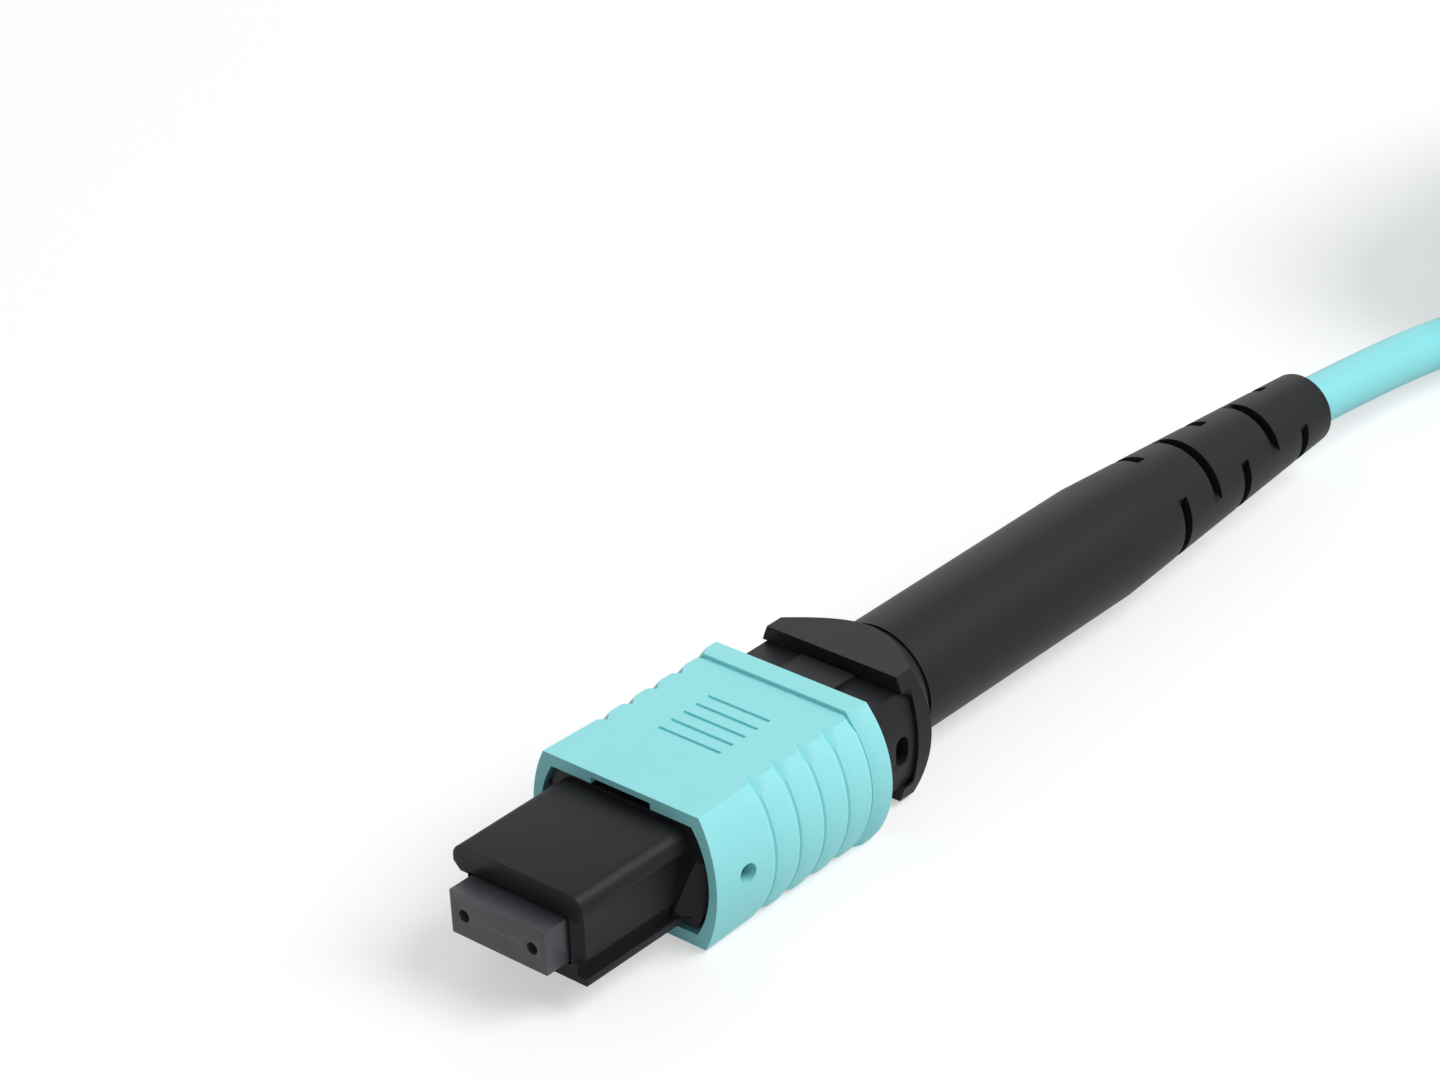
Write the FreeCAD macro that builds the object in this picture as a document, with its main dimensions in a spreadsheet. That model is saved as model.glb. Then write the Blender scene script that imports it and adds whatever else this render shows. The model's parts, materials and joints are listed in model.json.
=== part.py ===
"""Twelve-fibre MPO plug on a round jumper cable, built as a parametric FreeCAD document.

Every sub-part is drawn in the plug's own axis frame: Y runs back from the ferrule's face
along the plug's axis, X is across its width and Z is up. One placement then stands the
whole plug on the flat underside of its coupling sleeve. All sizes are in millimetres.
"""
import FreeCAD, Part
import math
import os

import Sketcher

V = FreeCAD.Vector
doc = FreeCAD.newDocument("fibre_plug")

# Driving dimensions. A name that ends in _at is a place along the plug's axis.
SIZES = {
    # MT ferrule
    "ferrule_wide": 6.4, "ferrule_high": 2.5, "ferrule_long": 8.0,
    "shoulder_wide": 7.0, "shoulder_high": 3.0, "shoulder_long": 2.0,
    "guide_bore": 0.70, "guide_pitch": 4.6,
    "fibre_thick": 0.125, "fibre_pitch": 0.25, "fibre_count": 12,
    "pocket_wide": 3.4, "pocket_high": 1.6, "pocket_web": 0.4, "soft_boot_set_back": 0.2,
    "window_wide": 3.4, "window_long": 1.6, "window_at": 2.6,
    "ribbon_wide": 3.1, "ribbon_thick": 0.32, "ribbon_flat_end_at": 18.5,
    "bundle_wide": 1.3, "bundle_high": 1.0, "bundle_start_at": 22.5, "bundle_end_at": 37.0,
    # pin keeper and main spring
    "keeper_thick": 1.0, "keeper_hub_long": 0.8, "keeper_hub_wide": 4.7, "keeper_hub_high": 1.7,
    "keeper_gap": 0.05, "keeper_pin_hole": 0.8, "keeper_slot_wide": 3.4, "keeper_slot_high": 1.0,
    "main_wire": 0.36, "main_turns": 5, "main_spring_wide": 5.6, "main_spring_high": 2.6,
    "main_spring_long": 6.2,
    # plug frame
    "frame_front_at": 1.55, "frame_end_at": 19.6, "nose_end_at": 9.4, "lap": 1.0,
    "nose_top": 2.81, "nose_bottom": 2.27, "cap_half": 4.37, "cap_round": 0.82,
    "cap_edge": 1.7, "cap_root": 1.25, "cheek_half": 3.93, "cheek_low": 1.2, "cheek_bevel": 0.5,
    "waist_half": 3.75, "waist_low": 1.95, "rail_half": 4.33, "rail_top": 1.84,
    "mouth_gap": 0.15, "slide_gap": 0.05,
    "ear_half": 5.25, "ear_front_at": 8.2, "ear_back_at": 11.0, "ear_lean": 1.2,
    "ear_top": 2.0, "ear_slope": 1.35,
    "frame_half_high": 3.0, "frame_corner_half": 4.5, "frame_bulge": 0.9,
    "channel_start_at": 12.0, "channel_wall": 0.5, "channel_high": 1.9, "stop_thick": 0.6,
    "latch_at": 16.6, "latch_long": 1.5, "latch_high": 1.4, "latch_gap": 0.05,
    "key_wide": 3.0, "key_high": 0.85, "key_root": 0.2, "key_start_at": 3.4, "key_end_at": 11.4,
    # coupling sleeve
    "sleeve_front_at": 9.18, "sleeve_end_at": 22.36,
    "sleeve_half_high": 3.92, "sleeve_corner_half": 5.1, "sleeve_middle_half": 6.54,
    "flank_half": 5.55, "flank_high": 3.3, "lip_corner_half": 5.25, "lip_middle_half": 6.22,
    "mouth_half_high": 3.2, "mouth_corner_half": 4.72, "mouth_bulge": 0.96,
    "relief_half": 2.0, "relief_high": 0.36,
    "band_start_at": 21.02, "band_half_high": 4.14, "band_bulge": 1.58,
    "notch_first_at": 13.4, "notch_corner_in": 0.45, "notch_flank_in": 0.2,
    "notch_middle_in": 0.1, "notch_fall": 0.3, "notch_rise": 0.6, "rib_count": 4,
    "eye_at": 11.37, "eye_wide": 1.1,
    "dash_first_at": 14.4, "dash_pitch": 0.95, "dash_count": 5, "dash_long": 4.2,
    "dash_wide": 0.24, "dash_deep": 0.12,
    "lug_thick": 0.6, "lug_high": 1.6, "lug_gap": 0.02, "lug_floor_gap": 0.1, "lug_root": 0.2,
    # coupling springs
    "side_wire": 0.22, "side_turns": 8, "side_spring_gap": 0.165,
    # rear body with its crimp post
    "rear_half_high": 2.85, "rear_corner_half": 4.5, "rear_bulge": 0.5, "rear_end_at": 26.3,
    "crest_half": 1.8, "crest_high": 0.3, "crest_end_at": 25.35,
    "dimple_at": 25.2, "dimple_long": 1.0, "dimple_high": 1.7, "dimple_deep": 0.8,
    "dimple_drop": 0.3,
    "spigot_gap": 0.05, "passage_wide": 4.2, "passage_high": 1.5, "passage_end_at": 23.6,
    "post_outer": 4.2, "post_bore": 2.6, "post_end_at": 34.6,
    "post_groove_deep": 0.12, "post_groove_wide": 0.5, "post_groove_pitch": 1.3,
    "post_groove_count": 4, "post_groove_at": 28.2,
    # crimp ring, yarn and cable
    "yarn_thick": 0.2, "yarn_start_at": 27.0, "ring_wall": 0.5, "ring_start_at": 27.2,
    "ring_step_at": 33.8, "ring_neck_at": 35.6, "ring_end_at": 38.4,
    "cable_thick": 3.0, "cable_bore": 2.0, "cable_start_at": 35.0, "jacket_gap": 0.03,
    # strain relief boot
    "boot_end": 68.8, "pad_front_at": 25.6, "flange_half_high": 3.8,
    "flange_corner_half": 4.4, "flange_bulge": 0.8,
    "flange_cone_at": 26.75, "tube_root_at": 26.8, "tube_start_at": 29.2, "tube_radius": 3.5,
    "neck_groove_wide": 0.28, "neck_groove_deep": 0.14,
    "taper_start_at": 48.3, "tip_radius": 2.22, "tip_round": 0.3,
    "ring_gap": 0.05, "bore_step": 0.6, "exit_flare": 0.3,
    "bend_slot_first_at": 53.0, "bend_slot_pitch": 3.15, "bend_slot_wide": 0.75,
    "bend_slot_core": 1.6, "bend_slot_turn": 28.0,
    "bend_slot_wide_rings": 3, "bend_slot_tall_rings": 2,
    # put-away cable
    "hank_across": 27.0, "hank_run": 24.0, "hank_high": 15.0, "hank_x": 6.0,
    "hank_near_at": 102.0, "tie_thick": 0.6, "tie_wide": 5.0,
}


def fill_sheet():
    """Write every driving dimension to its own aliased cell."""
    sheet = doc.addObject("Spreadsheet::Sheet", "Sizes")
    for row, (name, value) in enumerate(SIZES.items(), start=1):
        sheet.set(f"A{row}", name)
        sheet.set(f"B{row}", str(value))
        sheet.setAlias(f"B{row}", name)
    doc.recompute()
    return sheet


sheet = fill_sheet()


def cells(text):
    """Turn plain cell names in an expression into references to the sheet."""
    words = sorted(SIZES, key=len, reverse=True)
    out = ""
    place = 0
    while place < len(text):
        for word in words:
            if text.startswith(word, place) and not text[place - 1:place].isalpha():
                out += "Sizes." + word
                place += len(word)
                break
        else:
            out += text[place]
            place += 1
    return out


def value(text):
    """The number that an expression on cell names gives now."""
    reader = doc.getObject("Sizes")
    return float(reader.evalExpression(cells(text)))


def stand(thing):
    """Place a sub-part: the sleeve's underside at Z 0, the plug's middle at Y 0."""
    thing.setExpression("Placement.Base.y", cells("-boot_end / 2"))
    thing.setExpression("Placement.Base.z", cells("band_half_high"))


def new_body(name):
    """A body for one sub-part, with its own label and placement."""
    made = doc.addObject("PartDesign::Body", name)
    made.Label = name
    stand(made)
    return made


def plane_of(body, role):
    """One of a body's own origin planes or axes."""
    return next(f for f in body.Origin.OriginFeatures if f.Role == role)


def sketch_on(body, name, role, offset="0", turn=None):
    """A sketch on an origin plane, moved along the plane's normal by an expression."""
    made = body.newObject("Sketcher::SketchObject", name)
    made.AttachmentSupport = [(plane_of(body, role), "")]
    made.MapMode = "FlatFace"
    made.setExpression("AttachmentOffset.Base.z", cells(offset))
    if turn:
        made.AttachmentOffset = FreeCAD.Placement(V(), FreeCAD.Rotation(V(0, 1, 0), 1))
        made.setExpression("AttachmentOffset.Rotation.Angle", cells(turn))
    return made


def across(body, name, at):
    """A sketch across the plug's axis, at a place along it: sketch x is X, sketch y is Z."""
    return sketch_on(body, name, "XZ_Plane", f"-({at})")


def fix(sketch, kind, expression, *where):
    """Add one dimension and bind it to its expression."""
    index = sketch.addConstraint(Sketcher.Constraint(kind, *where, value(expression)))
    sketch.setExpression(f"Constraints[{index}]", cells(expression))


def pin(sketch, edge, end, x, y):
    """Fix one end of an edge at a point whose coordinates are expressions."""
    fix(sketch, "DistanceX", x, -1, 1, edge, end)
    fix(sketch, "DistanceY", y, -1, 1, edge, end)


def bow(sketch, edge, start, stop, middle):
    """Fix an arc between two pinned corners by the place of its centre."""
    chord = V(value(stop[0]), value(stop[1]), 0) - V(value(start[0]), value(start[1]), 0)
    out, along = (0, 1) if abs(chord.y) > abs(chord.x) else (1, 0)
    half = f"abs(({stop[along]}) - ({start[along]})) / 2"
    rise = f"abs(({middle[out]}) - ({start[out]}))"
    sign = "-" if value(middle[out]) > value(start[out]) else "+"
    centre = f"({middle[out]}) {sign} (({half})^2 + ({rise})^2) / (2 * ({rise}))"
    fix(sketch, ("DistanceX", "DistanceY")[out], centre, -1, 1, edge, 3)


def outline(sketch, corners, arcs=None):
    """A closed outline through corners given as expressions.

    arcs maps an edge's number to the expressions of a point that the edge passes through
    as an arc: its middle point. A third expression there is the place of the arc's centre,
    which an arc between corners that are not level or upright needs.
    """
    arcs = arcs or {}
    spots = [V(value(x), value(y), 0) for x, y in corners]
    count = len(spots)
    first = sketch.GeometryCount
    heads = []
    for k, start in enumerate(spots):
        stop = spots[(k + 1) % count]
        if k in arcs:
            middle = V(*(value(e) for e in arcs[k][:2]), 0)
            sketch.addGeometry(Part.Arc(start, middle, stop), False)
            # The sketcher counts an arc's ends anticlockwise, whichever way it was drawn.
            heads.append(1 if (middle - start).cross(stop - middle).z > 0 else 2)
        else:
            sketch.addGeometry(Part.LineSegment(start, stop), False)
            heads.append(1)
    for k in range(count):
        after = (k + 1) % count
        sketch.addConstraint(
            Sketcher.Constraint("Coincident", first + k, 3 - heads[k], first + after, heads[after])
        )
        pin(sketch, first + k, heads[k], *corners[k])
        if k in arcs and len(arcs[k]) > 2:
            fix(sketch, "DistanceX", arcs[k][2], -1, 1, first + k, 3)
        elif k in arcs:
            bow(sketch, first + k, corners[k], corners[after], arcs[k])
    return sketch


def rectangle(sketch, left, right, low, high):
    """A rectangle between four expressions."""
    return outline(sketch, [(left, low), (right, low), (right, high), (left, high)])


def box_section(sketch, wide, high):
    """A rectangle centred on the axis."""
    return rectangle(
        sketch, f"-({wide}) / 2", f"({wide}) / 2", f"-({high}) / 2", f"({high}) / 2"
    )


def barrel(sketch, half_high, corner_half, bulge):
    """The plug's own section: flat above and below, with two sides that bow outwards."""
    out = f"({corner_half}) + ({bulge})"
    corners = [
        (f"-({corner_half})", half_high),
        (f"{corner_half}", half_high),
        (f"{corner_half}", f"-({half_high})"),
        (f"-({corner_half})", f"-({half_high})"),
    ]
    return outline(sketch, corners, {1: (out, "0"), 3: (f"-({out})", "0")})


def circle(sketch, x, y, diameter):
    """A circle with its centre and diameter bound."""
    spot = V(value(x), value(y), 0)
    edge = sketch.addGeometry(Part.Circle(spot, V(0, 0, 1), value(diameter) / 2), False)
    pin(sketch, edge, 3, x, y)
    fix(sketch, "Radius", f"({diameter}) / 2", edge)
    return sketch


def grow(body, name, sketch, long, kind="PartDesign::Pad"):
    """Pad or pocket a section back along the axis by an expression."""
    made = body.newObject(kind, name)
    made.Profile = sketch
    made.Reversed = kind == "PartDesign::Pad"
    made.setExpression("Length", cells(long))
    return made


def pad(body, name, at, long, draw, *sizes):
    """A prism that starts at a place on the axis and runs back from it."""
    section = draw(across(body, name + "_section", at), *sizes)
    return grow(body, name, section, long)


def pocket(body, name, at, long, draw, *sizes):
    """A prismatic cut that starts at a place on the axis and runs back from it."""
    section = draw(across(body, name + "_section", at), *sizes)
    return grow(body, name, section, long, "PartDesign::Pocket")


def both_ways(body, name, sketch, long, kind):
    """Pad or pocket a sketch evenly to both sides of its plane."""
    made = body.newObject(kind, name)
    made.Profile = sketch
    made.Midplane = True
    made.setExpression("Length", cells(long))
    return made


def turned(body, name, corners, kind="PartDesign::Revolution"):
    """Turn an outline of (radius, place) expressions about the plug's axis."""
    profile = outline(sketch_on(body, name + "_profile", "XY_Plane"), corners)
    made = body.newObject(kind, name)
    made.Profile = profile
    made.ReferenceAxis = (profile, ["V_Axis"])
    made.Angle = 360
    return made


def repeat(body, name, feature, role, pitch, count):
    """Copies of a feature along an origin axis."""
    made = body.newObject("PartDesign::LinearPattern", name)
    made.Originals = [feature]
    made.Direction = (plane_of(body, role), [""])
    span = f"({pitch}) * (({count}) - 1)"
    made.setExpression("Length", cells(span))
    made.setExpression("Occurrences", cells(count))
    body.Tip = made
    return made


def mirror(body, name, feature, role):
    """The mirror image of a feature across an origin plane."""
    made = body.newObject("PartDesign::Mirrored", name)
    made.Originals = [feature]
    made.MirrorPlane = (plane_of(body, role), [""])
    body.Tip = made
    return made


POCKET_AT = "(window_at + window_long + pocket_web)"
CHANNEL_FLOOR = "(shoulder_wide / 2 + slide_gap + channel_wall)"


def mt_ferrule():
    """Moulded MT ferrule: face, shoulder, guide holes, fibre holes, window and boot pocket."""
    body = new_body("mt_ferrule")
    pad(body, "ferrule_block", "0", "ferrule_long", box_section, "ferrule_wide", "ferrule_high")
    pad(body, "ferrule_shoulder", "ferrule_long - shoulder_long", "shoulder_long",
        box_section, "shoulder_wide", "shoulder_high")
    pocket(body, "boot_pocket", POCKET_AT, f"ferrule_long - {POCKET_AT}",
           box_section, "pocket_wide", "pocket_high")
    holes = across(body, "guide_section", "0")
    circle(holes, "-guide_pitch / 2", "0", "guide_bore")
    circle(holes, "guide_pitch / 2", "0", "guide_bore")
    grow(body, "guide_holes", holes, "ferrule_long", "PartDesign::Pocket")
    window = sketch_on(body, "window_section", "XY_Plane")
    rectangle(window, "-window_wide / 2", "window_wide / 2", "window_at", "window_at + window_long")
    glue_window = body.newObject("PartDesign::Pocket", "glue_window")
    glue_window.Profile = window
    glue_window.Reversed = True
    glue_window.setExpression("Length", cells("shoulder_high"))
    doc.recompute()
    hole = across(body, "fibre_section", "0")
    circle(hole, "-fibre_pitch * (fibre_count - 1) / 2", "0", "fibre_thick")
    fibre_hole = grow(body, "fibre_hole", hole, POCKET_AT, "PartDesign::Pocket")
    repeat(body, "fibre_holes", fibre_hole, "X_Axis", "fibre_pitch", "fibre_count")
    return body


def stadium(sketch, wide, high):
    """A flat-sided oval centred on the axis."""
    flat = f"(({wide}) - ({high})) / 2"
    rise = f"({high}) / 2"
    reach = f"({wide}) / 2"
    corners = [(f"-({flat})", rise), (flat, rise), (flat, f"-({rise})"), (f"-({flat})", f"-({rise})")]
    return outline(sketch, corners, {1: (reach, "0"), 3: (f"-({reach})", "0")})


def ferrule_boot():
    """Soft sleeve that seats in the ferrule's pocket round the ribbon."""
    body = new_body("ferrule_boot")
    start = f"({POCKET_AT} + soft_boot_set_back)"
    pad(body, "boot_block", start, f"ferrule_long - {start}", stadium,
        "pocket_wide - 2 * slide_gap", "pocket_high - 2 * slide_gap")
    pocket(body, "ribbon_slit", "0", "ferrule_long", box_section, "ribbon_wide", "ribbon_thick")
    return body


def pin_keeper():
    """Keeper plate behind the ferrule, with two pin seats and a hub that centres the spring."""
    body = new_body("pin_keeper")
    back = "ferrule_long + keeper_thick"
    pad(body, "keeper_plate", "ferrule_long", "keeper_thick",
        box_section, "shoulder_wide - 2 * keeper_gap", "shoulder_high - 2 * keeper_gap")
    pad(body, "keeper_hub", back, "keeper_hub_long", stadium, "keeper_hub_wide", "keeper_hub_high")
    pocket(body, "keeper_slot", "0", back + " + keeper_hub_long",
           box_section, "keeper_slot_wide", "keeper_slot_high")
    seats = across(body, "seat_section", "0")
    circle(seats, "-guide_pitch / 2", "0", "keeper_pin_hole")
    circle(seats, "guide_pitch / 2", "0", "keeper_pin_hole")
    grow(body, "pin_seats", seats, back, "PartDesign::Pocket")
    return body


def fibre_ribbon():
    """Twelve bare fibres at the face, the flat ribbon behind them and the round bundle."""
    body = new_body("fibre_ribbon")
    pad(body, "flat_ribbon", POCKET_AT, f"ribbon_flat_end_at - {POCKET_AT}",
        box_section, "ribbon_wide", "ribbon_thick")
    wide = box_section(across(body, "gather_front", "ribbon_flat_end_at"), "ribbon_wide", "ribbon_thick")
    tight = box_section(across(body, "gather_back", "bundle_start_at"), "bundle_wide", "bundle_high")
    gather = body.newObject("PartDesign::AdditiveLoft", "gathered_ribbon")
    gather.Profile = wide
    gather.Sections = [tight]
    gather.Ruled = True
    pad(body, "fibre_bundle", "bundle_start_at", "bundle_end_at - bundle_start_at",
        box_section, "bundle_wide", "bundle_high")
    doc.recompute()
    tip = across(body, "fibre_tip_section", "0")
    circle(tip, "-fibre_pitch * (fibre_count - 1) / 2", "0", "fibre_thick")
    bare = grow(body, "bare_fibre", tip, POCKET_AT)
    repeat(body, "bare_fibres", bare, "X_Axis", "fibre_pitch", "fibre_count")
    return body


def nose_outline(sketch):
    """The plug nose's section: a round-cornered cap, two cheeks, a waist and two rails."""
    turn = "(cap_half - cap_round)"
    middle = (f"{turn} + cap_round * sqrt(1 / 2)", "nose_top - cap_round * (1 - sqrt(1 / 2))")
    right = [
        (turn, "nose_top"),
        ("cap_half", "nose_top - cap_round"),
        ("cap_half", "cap_edge"),
        ("cheek_half", "cap_root"),
        ("cheek_half", "-cheek_low"),
        ("waist_half", "-(cheek_low + cheek_half - waist_half)"),
        ("waist_half", "-waist_low"),
        ("rail_half", "-rail_top"),
        ("rail_half", "-nose_bottom"),
    ]
    left = [(f"-({x})", z) for x, z in reversed(right)]
    rounds = {0: (*middle, turn), 2 * len(right) - 2: (f"-({middle[0]})", middle[1], f"-{turn}")}
    return outline(sketch, right + left, rounds)


def side_cut(body, name, at, run, low, high):
    """Cut both cheeks to a 45 degree slope that starts at a place on the axis.

    A positive run slopes out from the cheek as it goes back, a negative one slopes out
    from inside the cheek to its outer face.
    """
    cut = sketch_on(body, name + "_section", "XY_Plane", f"-({low})")
    deep = f"abs({run})"
    near = f"cheek_half + ({run} - {deep}) / 2"
    for side in ("", "-"):
        outline(cut, [
            (f"{side}({near})", at),
            (f"{side}({near} + {deep})", f"{at} + {deep}"),
            (f"{side}({near} + 2 * {deep})", f"{at} + {deep}"),
            (f"{side}({near} + 2 * {deep})", at),
        ])
    made = body.newObject("PartDesign::Pocket", name)
    made.Profile = cut
    made.Reversed = True
    made.setExpression("Length", cells(f"{low} + {high}"))


def plug_frame():
    """Inner housing: nose, latch ears, key, spring channels, ferrule seat and latch windows."""
    body = new_body("plug_frame")
    pad(body, "nose", "frame_front_at", "nose_end_at + lap - frame_front_at", nose_outline)
    pad(body, "waist_block", "nose_end_at", "frame_end_at - nose_end_at",
        barrel, "frame_half_high", "frame_corner_half", "frame_bulge")
    ears = sketch_on(body, "ear_side", "YZ_Plane")
    outline(ears, [
        ("ear_front_at", "-waist_low"), ("ear_back_at", "-waist_low"),
        ("ear_back_at", "ear_top"), ("ear_front_at + ear_lean", "ear_top"),
    ])
    both_ways(body, "ears", ears, "2 * ear_half", "PartDesign::Pad")
    side_cut(body, "ear_slopes", "ear_front_at", "ear_slope", "waist_low", "cap_root")
    side_cut(body, "cheek_bevels", "frame_front_at", "-cheek_bevel", "cheek_low", "cap_root")
    pad(body, "key", "key_start_at", "key_end_at - key_start_at", rectangle,
        "-key_wide / 2", "key_wide / 2", "-(nose_bottom + key_high)", "-nose_bottom + key_root")
    pocket(body, "face_opening", "0", "frame_end_at", box_section,
           "ferrule_wide + 2 * mouth_gap", "ferrule_high + 2 * mouth_gap")
    pocket(body, "cavity", "ferrule_long - shoulder_long - lug_gap",
           "frame_end_at - ferrule_long + shoulder_long + lug_gap", box_section,
           "shoulder_wide + 2 * slide_gap", "shoulder_high + 2 * slide_gap")
    channels = across(body, "channel_section", "channel_start_at")
    far = "frame_corner_half + 2 * frame_bulge"
    for side in ("", "-"):
        rectangle(channels, f"{side}{CHANNEL_FLOOR}", f"{side}({far})",
                  "-channel_high / 2", "channel_high / 2")
    grow(body, "spring_channels", channels, "frame_end_at - stop_thick - channel_start_at",
         "PartDesign::Pocket")
    windows = sketch_on(body, "latch_window_side", "YZ_Plane")
    rectangle(windows, "latch_at", "latch_at + latch_long", "-latch_high / 2", "latch_high / 2")
    both_ways(body, "latch_windows", windows, f"2 * {CHANNEL_FLOOR}", "PartDesign::Pocket")
    return body


def sleeve_outline(sketch, corner_half, flank_high, middle_half):
    """The sleeve's section: flat above and below, sloped corners and sides that bow outwards."""
    right = [
        (corner_half, "sleeve_half_high"), ("flank_half", flank_high),
        ("flank_half", f"-({flank_high})"), (corner_half, "-sleeve_half_high"),
    ]
    left = [(f"-({x})", z) for x, z in reversed(right)]
    return outline(sketch, right + left, {1: (middle_half, "0"), 5: (f"-({middle_half})", "0")})


def sleeve_loft(body, name, sections):
    """A straight-lined loft through sections of the sleeve, each a place and its sizes."""
    drawn = [
        sleeve_outline(across(body, f"{name}_{index}", at), *sizes)
        for index, (at, *sizes) in enumerate(sections, start=1)
    ]
    made = body.newObject("PartDesign::AdditiveLoft", name)
    made.Profile = drawn[0]
    made.Sections = drawn[1:]
    made.Ruled = True
    return made


def coupling_sleeve():
    """Outer pull sleeve: bowed sides notched into grip ribs, a rear band and spring lugs."""
    body = new_body("coupling_sleeve")
    long = "sleeve_end_at - sleeve_front_at"
    pitch = "((band_start_at - notch_first_at) / rib_count)"
    lip = ("lip_corner_half", "flank_high", "lip_middle_half")
    crest = ("sleeve_corner_half", "flank_high", "sleeve_middle_half")
    notch = ("sleeve_corner_half - notch_corner_in", "flank_high - notch_flank_in",
             "sleeve_middle_half - notch_middle_in")
    sleeve_loft(body, "front_panel", [
        ("sleeve_front_at", *lip), ("notch_first_at - notch_fall", *crest), ("notch_first_at", *notch),
    ])
    rib = sleeve_loft(body, "grip_rib", [
        ("notch_first_at", *notch), ("notch_first_at + notch_rise", *crest),
        (f"notch_first_at + {pitch} - notch_fall", *crest), (f"notch_first_at + {pitch}", *notch),
    ])
    repeat(body, "grip_ribs", rib, "Y_Axis", pitch, "rib_count")
    pad(body, "rear_band", "band_start_at", "sleeve_end_at - band_start_at",
        barrel, "band_half_high", "sleeve_corner_half", "band_bulge")
    pocket(body, "sleeve_bore", "sleeve_front_at", long,
           barrel, "mouth_half_high", "mouth_corner_half", "mouth_bulge")
    tall = "mouth_half_high + relief_high"
    pocket(body, "mouth_relief", "sleeve_front_at", long, rectangle,
           "-relief_half", "relief_half", f"-({tall})", tall)
    lugs = across(body, "lug_section", "channel_start_at + lug_gap")
    near = f"{CHANNEL_FLOOR} + lug_floor_gap"
    far = "mouth_corner_half + mouth_bulge + lug_root"
    for side in ("", "-"):
        rectangle(lugs, f"{side}({near})", f"{side}({far})", "-lug_high / 2", "lug_high / 2")
    grow(body, "spring_lugs", lugs, "lug_thick")
    eye = sketch_on(body, "eye_side", "YZ_Plane")
    circle(eye, "eye_at", "0", "eye_wide")
    both_ways(body, "eyes", eye, "4 * sleeve_corner_half", "PartDesign::Pocket")
    dash = sketch_on(body, "dash_section", "XY_Plane", "sleeve_half_high - dash_deep")
    rectangle(dash, "-dash_long / 2", "dash_long / 2", "dash_first_at - dash_wide / 2",
              "dash_first_at + dash_wide / 2")
    bar = body.newObject("PartDesign::Pocket", "grip_dash")
    bar.Profile = dash
    bar.Reversed = True
    bar.setExpression("Length", cells("2 * dash_deep"))
    doc.recompute()
    repeat(body, "grip_dashes", bar, "Y_Axis", "dash_pitch", "dash_count")
    return body


def rear_body():
    """Spring push: visible barrel, spigot with latch hooks inside the frame, and crimp post."""
    body = new_body("rear_body")
    front = "ferrule_long + keeper_thick + main_spring_long"
    pad(body, "rear_barrel", "frame_end_at", "rear_end_at - frame_end_at",
        barrel, "rear_half_high", "rear_corner_half", "rear_bulge")
    pad(body, "crest", "frame_end_at", "crest_end_at - frame_end_at", rectangle,
        "-crest_half", "crest_half", "0", "rear_half_high + crest_high")
    pad(body, "spigot", front, f"frame_end_at - ({front})", box_section,
        "shoulder_wide - 2 * spigot_gap", "shoulder_high - 2 * spigot_gap")
    pad(body, "latch_hooks", "latch_at + latch_gap", "latch_long - 2 * latch_gap", box_section,
        "shoulder_wide + 2 * slide_gap + channel_wall", "latch_high - 2 * latch_gap")
    post = circle(across(body, "post_section", "rear_end_at"), "0", "0", "post_outer")
    grow(body, "crimp_post", post, "post_end_at - rear_end_at")
    pocket(body, "ribbon_passage", "0", "passage_end_at", box_section, "passage_wide", "passage_high")
    bore = circle(across(body, "post_bore_section", "passage_end_at - lap"), "0", "0", "post_bore")
    grow(body, "post_hole", bore, "post_end_at", "PartDesign::Pocket")
    dimple = sketch_on(body, "dimple_side", "YZ_Plane", "rear_corner_half + rear_bulge - dimple_deep")
    low, high = (f"-dimple_drop {sign} (dimple_high - dimple_long) / 2" for sign in "-+")
    outline(dimple, [
        ("dimple_at - dimple_long / 2", low), ("dimple_at + dimple_long / 2", low),
        ("dimple_at + dimple_long / 2", high), ("dimple_at - dimple_long / 2", high),
    ], {0: ("dimple_at", low + " - dimple_long / 2"), 2: ("dimple_at", high + " + dimple_long / 2")})
    well = body.newObject("PartDesign::Pocket", "side_dimple")
    well.Profile = dimple
    well.Reversed = True
    well.setExpression("Length", cells("2 * dimple_deep"))
    doc.recompute()
    mirror(body, "side_dimples", well, "YZ_Plane")
    ring = turned(body, "post_groove", [
        ("post_outer / 2 - post_groove_deep", "post_groove_at"),
        ("post_outer", "post_groove_at"),
        ("post_outer", "post_groove_at + post_groove_wide"),
        ("post_outer / 2 - post_groove_deep", "post_groove_at + post_groove_wide"),
    ], "PartDesign::Groove")
    doc.recompute()
    repeat(body, "post_grooves", ring, "Y_Axis", "post_groove_pitch", "post_groove_count")
    return body


def aramid_yarn():
    """Strength yarn folded back over the crimp post."""
    body = new_body("aramid_yarn")
    turned(body, "yarn", [
        ("post_outer / 2", "yarn_start_at"), ("post_outer / 2 + yarn_thick", "yarn_start_at"),
        ("post_outer / 2 + yarn_thick", "post_end_at"), ("post_outer / 2", "post_end_at"),
    ])
    return body


def crimp_ring():
    """Stepped metal ring: wide over the yarn, narrow over the cable's jacket."""
    body = new_body("crimp_ring")
    wide = "post_outer / 2 + yarn_thick"
    neck = "cable_thick / 2"
    turned(body, "ring", [
        (wide, "ring_start_at"), (f"{wide} + ring_wall", "ring_start_at"),
        (f"{wide} + ring_wall", "ring_step_at"), (f"{neck} + ring_wall", "ring_neck_at"),
        (f"{neck} + ring_wall", "ring_end_at"), (neck, "ring_end_at"),
        (neck, "ring_neck_at"), (wide, "post_end_at"),
    ])
    return body


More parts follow.
